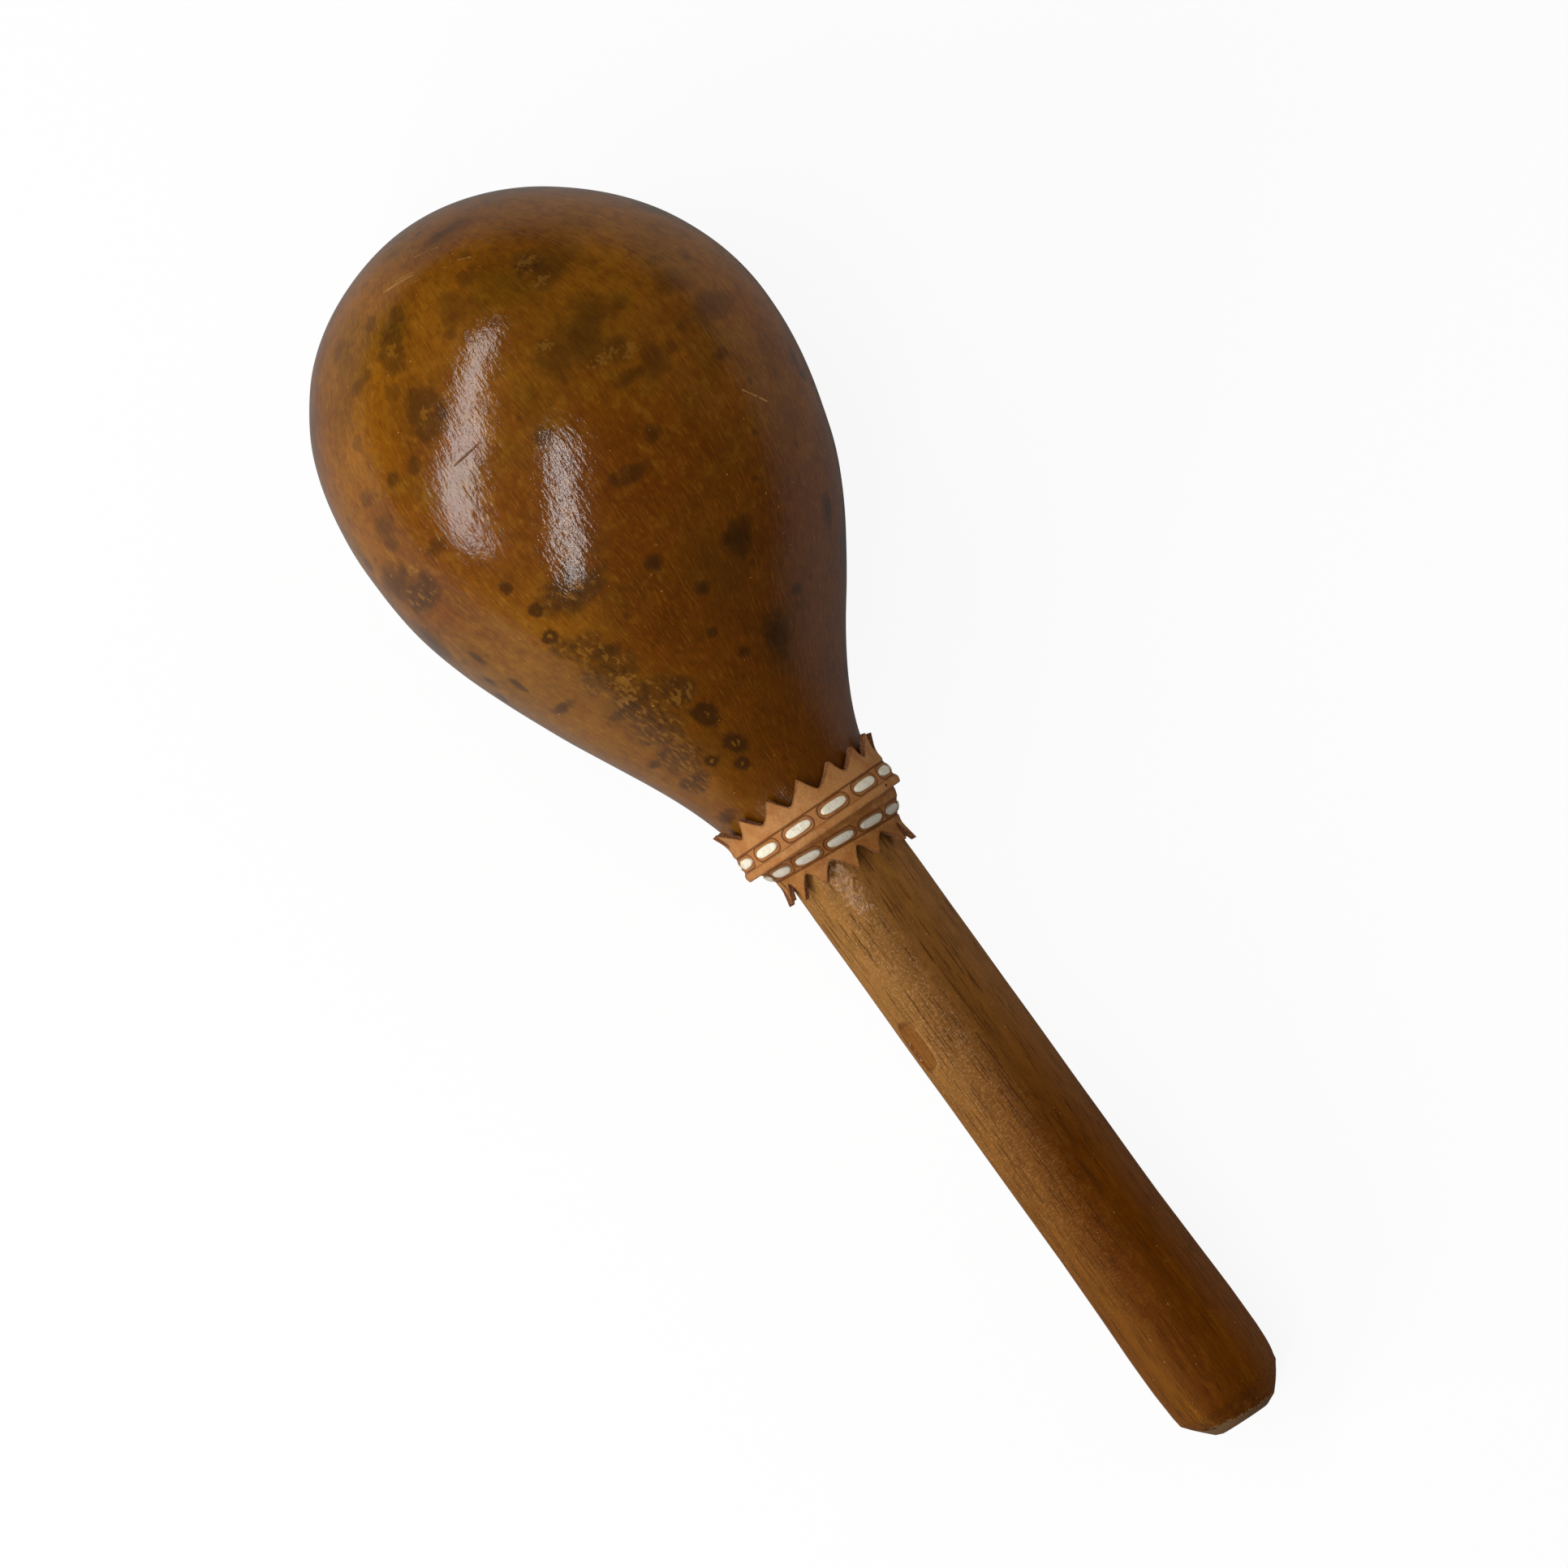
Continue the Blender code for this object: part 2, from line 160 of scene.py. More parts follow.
class Finish:
    """A material on one principled shader, or a world, whose colour is built up in layers."""

    def __init__(self, name, family="materials", shader="Principled BSDF"):
        self.material = getattr(bpy.data, family).new(name)
        self.material.use_nodes = True
        self.tree = self.material.node_tree
        self.shader = self.tree.nodes[shader]
        self.color = None

    def find(self, sockets, key):
        if isinstance(key, int):
            return sockets[key]
        return next(s for s in sockets if key in (s.identifier, s.name))

    def feed(self, socket, value):
        if isinstance(value, Value):
            self.tree.links.new(value.socket, socket)
        else:
            socket.default_value = value

    def node(self, kind, settings=None, inputs=None, output=0):
        node = self.tree.nodes.new("ShaderNode" + kind)
        for name, setting in (settings or {}).items():
            setattr(node, name, setting)
        for key, value in (inputs or {}).items():
            self.feed(self.find(node.inputs, key), value)
        return Value(self, self.find(node.outputs, output))

    @cached_property
    def place(self):
        """Object coordinates turned back upright, in millimetres."""
        here = self.node("TexCoord", output="Object")
        inputs = {0: here, 1: BUTT, 2: (0, TILT - math.pi / 2, 0), 3: (MM, MM, MM)}
        return self.node("Mapping", {"vector_type": "TEXTURE"}, inputs)

    def vectors(self, operation, *values, output=0):
        return self.node("VectorMath", {"operation": operation}, dict(enumerate(values)), output)

    def axes(self):
        return [self.node("SeparateXYZ", None, {0: self.place}, axis) for axis in "XYZ"]

    def ray(self, kind):
        """1 on rays of a kind, and 0 on others."""
        return self.node("LightPath", output=f"Is {kind} Ray")

    def by_ray(self, lit, mirrored, seen):
        """A value for most rays, another for what gloss mirrors and another for the camera."""
        unseen = lit + self.ray("Glossy") * (mirrored - lit)
        return unseen + self.ray("Camera") * (seen - unseen)

    def noise(self, scale, detail=3, roughness=0.55, shift=0, vector=None):
        vector = vector or self.place
        if shift:
            vector = self.vectors("ADD", vector, (shift, -shift, 2 * shift))
        inputs = {"Vector": vector, "Scale": scale, "Detail": detail, "Roughness": roughness}
        return self.node("TexNoise", None, inputs)

    def stretched(self, across, along, detail=3, roughness=0.6, shift=0, vector=None):
        """Noise with one scale across the upright axis and another along it."""
        vector = self.vectors("MULTIPLY", vector or self.place, (across, across, along))
        return self.noise(1, detail, roughness, shift, vector)

    def cells(self, scale):
        """The distance to the nearest of many scattered points, in cells."""
        return self.node("TexVoronoi", None, {"Vector": self.place, "Scale": scale}, "Distance")

    def attribute(self, name, output="Fac"):
        return self.node("Attribute", {"attribute_name": name}, output=output)

    def mix(self, factor, a, b, blend="MIX"):
        """Two colours mixed, each of them a value or red, green and blue."""
        a, b = (color if isinstance(color, Value) else tone(*color) for color in (a, b))
        settings = {"data_type": "RGBA", "blend_type": blend, "clamp_factor": True}
        inputs = {"Factor_Float": factor, "A_Color": a, "B_Color": b}
        return self.node("Mix", settings, inputs, "Result_Color")

    def shade(self, amount):
        """Makes the finish's colour darker or lighter by a value round 1."""
        self.color = self.mix(1, self.color, amount, "MULTIPLY")

    def tint(self, mask, color):
        """Lays another colour over the finish's colour where a mask is 1."""
        self.color = self.mix(mask, self.color, color)

    def scratch(self, start, end, width):
        """1 on the line between two points in millimetres, down to 0 at half a width from it."""
        way = Vector(end) - Vector(start)
        offset = self.vectors("SUBTRACT", self.place, start)
        share = self.vectors("DOT_PRODUCT", offset, way / way.length_squared, output="Value")
        share = share.at_least(0).at_most(1)
        nearest = self.node("VectorMath", {"operation": "SCALE"}, {0: way, "Scale": share})
        gap = self.vectors("DISTANCE", offset, nearest, output="Value")
        return gap.rise(width / 2, 0)

    def bump(self, height, distance):
        """Raises the surface by a value of 0 to 1 times a distance in millimetres."""
        inputs = {"Height": height, "Distance": distance * MM, "Strength": 1}
        self.feed(self.shader.inputs["Normal"], self.node("Bump", None, inputs))

    def paint(self, **sockets):
        """Sets the shader's colour, and sockets whose names have an underscore for each space."""
        for name, value in {"Base_Color": self.color, **sockets}.items():
            self.feed(self.shader.inputs[name.replace("_", " ")], value)
        return self.material


# Meshes


def turned(bm, outline, sides):
    """Spins points of radius and height about the Z axis, in a mesh that may hold more."""
    ring = [bm.verts.new((radius, 0, height)) for radius, height in outline]
    edges = [bm.edges.new(pair) for pair in zip(ring, ring[1:])]
    before = set(bm.verts)
    about = {"cent": (0, 0, 0), "axis": (0, 0, 1), "angle": 2 * math.pi}
    bmesh.ops.spin(bm, geom=ring + edges, steps=sides, use_merge=True, **about)
    made = ring + [vert for vert in bm.verts if vert not in before]
    bmesh.ops.remove_doubles(bm, verts=made, dist=0.001)
    return [vert for vert in made if vert.is_valid]


def thick_grid(bm, columns, rows, size=0.5):
    """A flat grid with a copy below it and walls between them, at heights 0 and -1."""
    bmesh.ops.create_grid(bm, x_segments=columns, y_segments=rows, size=size)
    under = bmesh.ops.extrude_face_region(bm, geom=bm.faces[:])["geom"]
    under = [part for part in under if isinstance(part, bmesh.types.BMVert)]
    bmesh.ops.translate(bm, verts=under, vec=(0, 0, -1))


def face_out(bm):
    """Turns a closed mesh's faces outwards."""
    bmesh.ops.recalc_face_normals(bm, faces=bm.faces)
    if bm.calc_volume(signed=True) < 0:
        bmesh.ops.reverse_faces(bm, faces=bm.faces)


def mesh_of(name, bm):
    mesh = bpy.data.meshes.new(name)
    bm.to_mesh(mesh)
    bm.free()
    return mesh


def add_object(name, data):
    thing = bpy.data.objects.new(name, data)
    bpy.context.collection.objects.link(thing)
    return thing


def add_piece(name, mesh, materials, nodes, sharp, body):
    """A piece that rides a body and stands for CAD nodes, with edges sharper than an angle kept crisp."""
    mesh.shade_smooth()
    mesh.set_sharp_from_angle(angle=math.radians(sharp))
    for material in materials:
        mesh.materials.append(material)
    piece = add_object(name, mesh)
    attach(piece, body)
    if nodes:
        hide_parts(*nodes)


def lay_down(name, bm, materials, nodes, paint=None, sharp=40):
    """Makes an upright mesh a piece of the rattle."""
    mesh = mesh_of(name, bm)
    if paint:
        paint(mesh)
    mesh.transform(UPRIGHT)
    add_piece(name, mesh, materials, nodes, sharp, "rattle")


def wander(vector, size, seed=0.0):
    """Smooth noise of about -1 to 1 whose lumps are a size in millimetres."""
    return noise.noise(Vector(vector) / size + Vector((seed, 3 * seed, -seed)))


# Gourd

GOURD_SIDES = 256
FLANK_ROWS = 104
DOME_ROWS = 62
INNER_ROWS = 12
LUMPS = ((0.45, 34, 2.0), (0.12, 11, 5.0))  # Height, size and seed
SMOOTH_NECK = GRIP_LENGTH + 14
LUMPY_SKIN = GRIP_LENGTH + 40
BLOSSOM_SCAR_RADIUS = 2.4
BLOSSOM_SCAR_DEPTH = 0.7


def sway(height):
    """How far the gourd's middle leans from the handle's axis at a height."""
    rise = smooth_step((height - GRIP_LENGTH - SWAY_START) / SWAY_LENGTH)
    fall = smooth_step((height - BELLY) / DOME_HEIGHT)
    return SWAY * rise * (1 - SWAY_LOSS * fall)


def flank_point(share):
    """The gourd's outside from the neck's cut end to the belly, as radius and height."""
    points = [(NECK_RADIUS, GRIP_LENGTH), NECK_PULL, BELLY_PULL, (BELLY_RADIUS, BELLY)]
    rest = 1 - share
    parts = (rest**3, 3 * rest**2 * share, 3 * rest * share**2, share**3)
    return sum((part * Vector(point) for part, point in zip(parts, points)), Vector((0, 0)))


def dome_point(share, wall=0.0):
    turn = share * math.pi / 2
    radius = (BELLY_RADIUS - wall) * math.cos(turn)
    return Vector((radius, BELLY + (DOME_HEIGHT - wall) * math.sin(turn)))


def inner_flank_point(share):
    along = flank_point(share + 0.001) - flank_point(share - 0.001)
    inward = Vector((-along.y, along.x)).normalized()
    point = flank_point(share) + SHELL_WALL * inward
    return Vector((max(point.x, BORE_RADIUS), point.y))


def gourd_radius(height):
    """The outside radius at a height, found by halving."""
    if height >= BELLY:
        return BELLY_RADIUS * math.sqrt(max(1 - ((height - BELLY) / DOME_HEIGHT) ** 2, 0.0))
    low, high = 0.0, 1.0
    for _ in range(30):
        middle = (low + high) / 2
        if flank_point(middle).y < height:
            low = middle
        else:
            high = middle
    return flank_point(low).x


def on_gourd(height, angle):
    """A point on the gourd at a height and an angle in degrees from the side that faces up."""
    return polar(gourd_radius(height), math.radians(angle), height) + Vector((0, sway(height), 0))


def seen_at(height, angle):
    """Where the camera sees a mark that was measured flat, square to the axis, as height and angle."""
    flat = on_gourd(height, angle)
    flat.x = 0.0
    depth = 0.0
    for _ in range(12):
        spot = flat.lerp(EYE, depth / EYE.x)
        aside = spot.y - sway(spot.z)
        depth = math.sqrt(max(gourd_radius(spot.z) ** 2 - aside**2, 0.0))
    return spot.z, math.degrees(math.atan2(aside, depth))


# Marks on the skin: height, angle from the side that faces up, half size along the gourd and round it
STAINS = [
    (287, 15, 1.3, 3.9), (281, 13, 1, 1.2), (277, 6, 2.1, 1.6), (274, -3, 3.6, 3.1),
    (270, -8, 1.3, 1.1), (281, -34, 1.8, 1.4), (279, -22, 2.3, 2.3), (280, -55, 1.6, 1.7),
    (273, -39, 1, 1.7), (272, -45, 1.6, 2.5), (267, -32, 2.3, 2.1), (253, 49, 2.8, 4.9),
    (258, -22, 1.8, 1.4), (274, 25, 1.8, 3), (268, 26, 3, 4.4), (254, 11, 4.1, 5.1),
    (263, -51, 1.1, 1.6), (242, -5, 2.4, 1.6), (226, 74, 2, 2.3), (222, 74, 1, 1.9),
    (255, 61, 0.8, 1.7), (244, 51, 3.2, 8.6), (244, 40, 1, 1.3), (257, 24, 3.7, 4.3),
    (255, 32, 1.5, 2.3), (248, 22, 2.8, 2.6), (253, 16, 4.5, 4.7), (242, 28, 3.6, 3.1),
    (242, 34, 1.5, 1.8), (242, 21, 1.1, 4), (230, 17, 1.8, 2), (235, 46, 1.3, 2.6),
    (253, -56, 1.8, 3.2), (246, -56, 2.3, 3.5), (243, -57, 2, 2.7), (237, -45, 1.6, 3.2),
    (233, -55, 1.5, 2.3), (237, -60, 1.6, 1.6), (231, -60, 2.9, 7.1), (236, -69, 3.6, 6.9),
    (214, -23, 4.2, 7.1), (196, -57, 1.3, 4.2), (214, -64, 2, 1.5), (209, -72, 2, 1.4),
    (205, -62, 2, 1), (226, 7, 1.8, 3.3), (227, 3, 1, 1.3), (203, 24, 3.9, 3),
    (204, 20, 2.1, 1.9), (199, 7, 1.5, 1.8), (191, 3, 0.8, 0.8), (188, 39, 1.3, 1.7),
    (183, 26, 4.9, 3.2), (184, 10, 1, 1), (197, 63, 3.2, 2.2), (200, -28, 1.6, 3.1),
    (188, -39, 1.6, 4.8), (176, -56, 1.1, 2.9), (169, -49, 1.3, 5), (185, -17, 2.9, 2.9),
    (159, -54, 1.6, 3.3), (209, -1, 1.8, 1.8),
]
RINGS = [
    (259.5, -25.7, 4.7, 4.1), (274, -27, 4.7, 2.7), (253, -44, 1.1, 1.4), (253, -36, 1.5, 1.6),
    (222, -36, 1.1, 1.3), (215, -34, 1.2, 1.5), (209, -37, 1.3, 1.8), (178, -16, 2.8, 2.2),
    (170, -13, 2.1, 2), (166, -17, 1.5, 1.4), (170, -29, 1.3, 1.5),
]
MOTTLED = [
    (206, -37, 1.8, 3.1), (203, -32, 2.8, 3.8), (196, -32, 4.1, 5.7), (188, -31, 4.9, 5.7),
    (181, -36, 4.5, 5), (174, -41, 3.6, 4.7), (185, -20, 2.9, 3.1), (168, -49, 2, 3.7),
    (214, -23, 2.8, 4.9), (272, 24, 2, 3), (231, -61, 2.3, 5),
]
PALE = [
    (273, 24, 1, 2.3), (268, 22, 0.8, 2.6), (257, 10, 1.6, 2.1), (193, -31, 2, 3.2),
    (190, -36, 1.1, 2.4), (236, -56, 1.3, 2.6), (246, 25, 2, 2.3), (248, 18, 1.1, 3.4),
]
HAZES = [
    (254, 18, 9, 13), (270, 26, 5, 9), (233, -60, 6, 9), (278, -22, 6, 4),
    (190, -33, 14, 9), (262, -28, 7, 7), (172, -27, 8, 7), (200, 14, 8, 8),
    (181, 30, 9, 7), (287, 20, 4, 12),
]
SMALLEST_MARK = 1.3
FAR_STAINS = 64
FAR_PATCHES = ((238, 130), (246, 138), (241, 146), (196, 215), (189, 222), (262, 250))

# Scratches in the varnish: where each starts and ends as height and angle, and its width
PALE_SCRATCHES = [
    ((284.4, -25), (283.8, -9), 0.8),
    ((284.7, -17), (284.2, -8), 0.5),
    ((286.4, -3.5), (285.3, 8.4), 0.6),
    ((282.6, -10.7), (282.2, -6.6), 0.5),
    ((281.4, 7.2), (280.0, 13.5), 0.6),
    ((226.6, 45), (221.8, 51), 0.5),
]
DARK_SCRATCH = ((248.8, -17.8), (248, -26.8), 0.6)
SIDE_SCAR = ((248, 80), (243, 81.5), (238.5, 83), (234, 84))
SIDE_SCAR_WIDTH = 1.2
SKIN_STRETCH = 0.35


def far_side_marks():
    """More marks of the same kinds for the half of the gourd that lies face down."""
    chance = random.Random(11)
    stains, rings, mottled, pale, hazes = [], [], [], [], []
    for _ in range(FAR_STAINS):
        size = chance.uniform(1.2, 4.8)
        mark = (chance.uniform(165, 284), chance.uniform(76, 288), size, size * chance.uniform(0.8, 1.3))
        (stains if size > 1.9 else rings).append(mark)
    for height, angle in FAR_PATCHES:
        size = chance.uniform(4.0, 6.0)
        mottled.append((height, angle, size, size * chance.uniform(0.8, 1.2)))
        pale.append((height + chance.uniform(-2, 2), angle + 3, size * 0.3, size * 0.5))
        hazes.append((height, angle, size * 1.6, size * 1.8))
    return stains, rings, mottled, pale, hazes


def mark_field(places, marks):
    """How deep each place lies in its deepest mark: 0 at a mark's edge and 1 at its middle."""
    field = numpy.full(len(places), -1.0)
    for height, angle, tall, wide in marks:
        middle = on_gourd(height, angle)
        up = (on_gourd(height + 0.5, angle) - on_gourd(height - 0.5, angle)).normalized()
        around = polar(1, math.radians(angle + 90))
        out = up.cross(around).normalized()
        offsets = places - numpy.array(middle)
        sizes = ((up, tall), (around, wide), (out, tall))
        scaled = [offsets @ numpy.array(way) / size for way, size in sizes]
        field = numpy.maximum(field, 1 - numpy.sqrt(sum(part**2 for part in scaled)))
    return field


def paint_gourd(mesh):
    """Fields of the marks, and a place on the skin that runs round the gourd and along it."""
    places = numpy.empty(len(mesh.vertices) * 3)
    mesh.vertices.foreach_get("co", places)
    places = places.reshape(-1, 3)
    lean = numpy.array([sway(height) for height in places[:, 2]])
    angles = numpy.arctan2(places[:, 1] - lean, places[:, 0])
    reach = numpy.hypot(places[:, 0], places[:, 1] - lean)
    outward = numpy.where(places[:, 2] < BELLY, reach, 2 * BELLY_RADIUS - reach)
    along = places[:, 2] + SKIN_STRETCH * outward
    skin = numpy.stack([BELLY_RADIUS * numpy.cos(angles), BELLY_RADIUS * numpy.sin(angles), along], axis=1)
    grain = mesh.attributes.new("skin", "FLOAT_VECTOR", "POINT")
    grain.data.foreach_set("vector", skin.astype(numpy.float32).ravel())
    names = ("stain", "ring", "mottle", "pale", "haze")
    near_side = (STAINS, RINGS, MOTTLED, PALE, HAZES)
    for name, near, far in zip(names, near_side, far_side_marks()):
        marks = []
        for height, angle, tall, wide in near:
            marks.append((*seen_at(height, angle), max(tall, SMALLEST_MARK), max(wide, SMALLEST_MARK)))
        field = mesh.attributes.new(name, "FLOAT", "POINT")
        field.data.foreach_set("value", mark_field(places, marks + far).astype(numpy.float32))


def gourd_finish():
    finish = Finish("varnished_gourd")
    _, y, height = finish.axes()
    skin = finish.attribute("skin", "Vector")

    # Broad tones of the skin: more golden low on the flank towards -Y, darker towards the neck, lighter
    # towards the crown, and a painted sheen on the side the gourd leans to
    cloud = finish.noise(0.024, 2, 0.5, shift=4)
    drift = finish.noise(0.04, 2, 0.5, shift=31)
    finish.color = finish.mix(cloud.rise(0.36, 0.64), (126, 76, 7), (102, 54, 0))
    finish.tint(drift.rise(0.5, 0.66) * 0.6, (98, 64, 0))
    flank = height.rise(236, 196) * y.rise(-4, -30)
    finish.tint(flank * 0.7, (122, 80, 16))
    neck = height.rise(240, 186) * (0.2 + 0.8 * y.rise(-26, 0))
    finish.tint(neck * 0.8, (74, 35, 0))
    warm = height.rise(264, 230) * y.rise(-14, 8)
    finish.tint(warm * 0.3, (92, 42, 0))
    # Painted sheen: lighter on the side the gourd leans to, standing for the dull reflection there; also
    # lighter towards the crown
    finish.shade(1 + 0.2 * y.rise(18, 40) + 0.3 * height.rise(268, 284))

    # Cloudy mottling, then short pale and dark fibres that run along the gourd
    blotch = finish.noise(0.16, 3, 0.6, shift=9)
    grain = finish.noise(0.62, 4, 0.66)
    fibres = finish.stretched(2.1, 0.36, 3, 0.62, vector=skin)
    blush = finish.noise(0.3, 3, 0.6, shift=27)
    finish.tint(blush.rise(0.5, 0.66) * 0.36, (98, 46, 2))
    finish.tint(blush.rise(0.48, 0.34) * (0.32 - 0.26 * neck), (134, 88, 18))
    finish.shade(0.18 + 0.66 * blotch + 0.72 * grain + 0.3 * fibres)
    finish.tint(fibres.rise(0.52, 0.76) * 0.26, (160, 106, 28))
    finish.tint(fibres.rise(0.47, 0.28) * 0.3, (70, 36, 2))

    # Stains, ringed scars, hazy patches and pale patches, all with soft cloudy edges
    soft = finish.noise(0.2, shift=17) - 0.5
    ragged = finish.noise(0.62, 3, 0.6, shift=19) - 0.5
    edge = soft * 1.3 + ragged * 0.8
    cloudy = 0.62 + 0.7 * grain
    haze = finish.attribute("haze") + edge
    finish.tint(haze.rise(-0.4, 0.9) * cloudy * 0.34, (62, 38, 6))
    stain = finish.attribute("stain") + edge
    deep = height.rise(256, 206)
    finish.tint(stain.rise(-0.36, 0.28) * cloudy * (0.36 + 0.26 * deep), (56, 32, 6))
    finish.tint(stain.rise(0.1, 0.8) * (0.12 + 0.3 * deep), (36, 19, 3))
    islands = finish.stretched(0.6, 0.5, 3, 0.55, shift=41, vector=skin)
    patch = (finish.attribute("mottle") + edge).rise(-0.5, 0.3)
    finish.tint(patch * cloudy * (0.56 + 0.12 * deep), (80, 47, 10))
    finish.tint(patch * islands.rise(0.48, 0.36) * 0.5, (46, 30, 12))
    finish.tint(patch * islands.rise(0.54, 0.62) * 0.46, (138, 92, 32))
    flaky = finish.noise(1.1, 3, 0.6, shift=23) - 0.5
    pale = finish.attribute("pale") * 0.8 + flaky * 3 + soft * 0.8
    finish.tint(pale.rise(0.15, 0.45) * 0.38, (146, 100, 36))
    ring = finish.attribute("ring") + ragged * 1.3 + soft * 0.9
    finish.tint(ring.rise(-0.5, 0.2) * (0.5 + 0.28 * deep), (46, 25, 5))
    finish.tint(ring.rise(0.46, 0.72) * islands.rise(0.42, 0.54) * 0.38, (150, 98, 24))

    # Freckles, dust and scratches in the varnish
    freckles = finish.cells(0.15).rise(0.17, 0.05)
    finish.tint(freckles * drift.rise(0.44, 0.58) * 0.45, (54, 28, 6))
    dust = finish.cells(0.42).rise(0.075, 0.03)
    dusty = finish.noise(0.1, shift=3).rise(0.5, 0.6)
    finish.tint(dust * dusty * 0.75, (206, 164, 92))
    start, end, width = DARK_SCRATCH
    scar = finish.scratch(on_gourd(*seen_at(*start)), on_gourd(*seen_at(*end)), width)
    for start, end in zip(SIDE_SCAR, SIDE_SCAR[1:]):
        part = finish.scratch(on_gourd(*start), on_gourd(*end), SIDE_SCAR_WIDTH)
        scar = scar.at_least(part)
    for start, end, width in PALE_SCRATCHES:
        streak = finish.scratch(on_gourd(*seen_at(*start)), on_gourd(*seen_at(*end)), width)
        finish.tint(streak * grain.rise(0.38, 0.52) * 0.85, (190, 142, 74))
    finish.tint(scar * grain.rise(0.3, 0.5) * 0.8, (44, 24, 10))

    # Brushed varnish: soft waves, crinkles that follow the fibres, and the fibres themselves
    waves = finish.noise(0.13, 2, 0.5, shift=2)
    crinkle = finish.stretched(0.8, 0.3, shift=6, vector=skin)
    fine = finish.stretched(2.2, 1.1, 2, 0.5, shift=37, vector=skin)
    finish.bump(waves * 0.4 + crinkle * 0.42 + fine * 0.09 + fibres * 0.04 - scar * 0.5, 0.25)
    return finish.paint(Roughness=0.07 + 0.07 * grain, IOR=1.52, Coat_Weight=0.08, Coat_Roughness=0.4)


def make_gourd():
    bm = bmesh.new()
    outside = [flank_point(step / FLANK_ROWS) for step in range(FLANK_ROWS)]
    outside += [dome_point(step / DOME_ROWS) for step in range(DOME_ROWS)]
    outside.append(Vector((0, CROWN)))
    for vert in turned(bm, outside, GOURD_SIDES):
        spot = vert.co.copy()
        out = Vector((spot.x / BELLY_RADIUS, spot.y / BELLY_RADIUS, (spot.z - BELLY) / 80)).normalized()
        free = ease(SMOOTH_NECK, LUMPY_SKIN, spot.z) * ease(-0.97, -0.8, out.x)
        lump = sum(tall * wander(spot, size, seed) for tall, size, seed in LUMPS)
        scar = math.exp(-((spot.xy.length / BLOSSOM_SCAR_RADIUS) ** 2)) if spot.z > CROWN - 4 else 0.0
        vert.co += out * (free * lump - BLOSSOM_SCAR_DEPTH * scar)
        vert.co.y += sway(spot.z)
    inside = [Vector((BORE_RADIUS, GRIP_LENGTH))]
    inside += [inner_flank_point(0.12 + 0.88 * step / INNER_ROWS) for step in range(INNER_ROWS)]
    inside += [dome_point(step / INNER_ROWS, SHELL_WALL) for step in range(INNER_ROWS)]
    inside.append(Vector((0, CROWN - SHELL_WALL)))
    for vert in turned(bm, inside, GOURD_SIDES):
        vert.co.y += sway(vert.co.z)
    bmesh.ops.bridge_loops(bm, edges=[edge for edge in bm.edges if edge.is_boundary])
    face_out(bm)
    lay_down("gourd_skin", bm, [gourd_finish()], ["gourd_shell"], paint_gourd)


# Leather strips and lace

HALF_STITCH = 3.05
FIRST_TOOTH = 0.75
COLUMNS_PER_TOOTH = 20
PLAIN_ROWS = 26
TOOTH_ROWS = 9
TOOTH_BEND = 1.2
TOOTH_ARCH = 0.3
LOOSE_TOOTH_CURL = 1.5
ROW_DEPTH = 0.18
SLIT_DEPTH = 0.3
GROOVE_DEPTH = 0.2
ROLLED_BAND = 0.3
RAGGED_EDGE = 0.16
PIN_HOLE_RADIUS = 18.6
PIN_HOLE_ANGLE = math.radians(56)
PIN_HOLE_HEIGHT = 145.7
COLUMNS_PER_STITCH = 40
LACE_ROWS = 8
LACE_SINK = 0.5
LACE_DOME = 0.2
LACE_DROP = 0.15
LACE_CLEARANCE = 0.25
RIB_LENGTH = 0.46


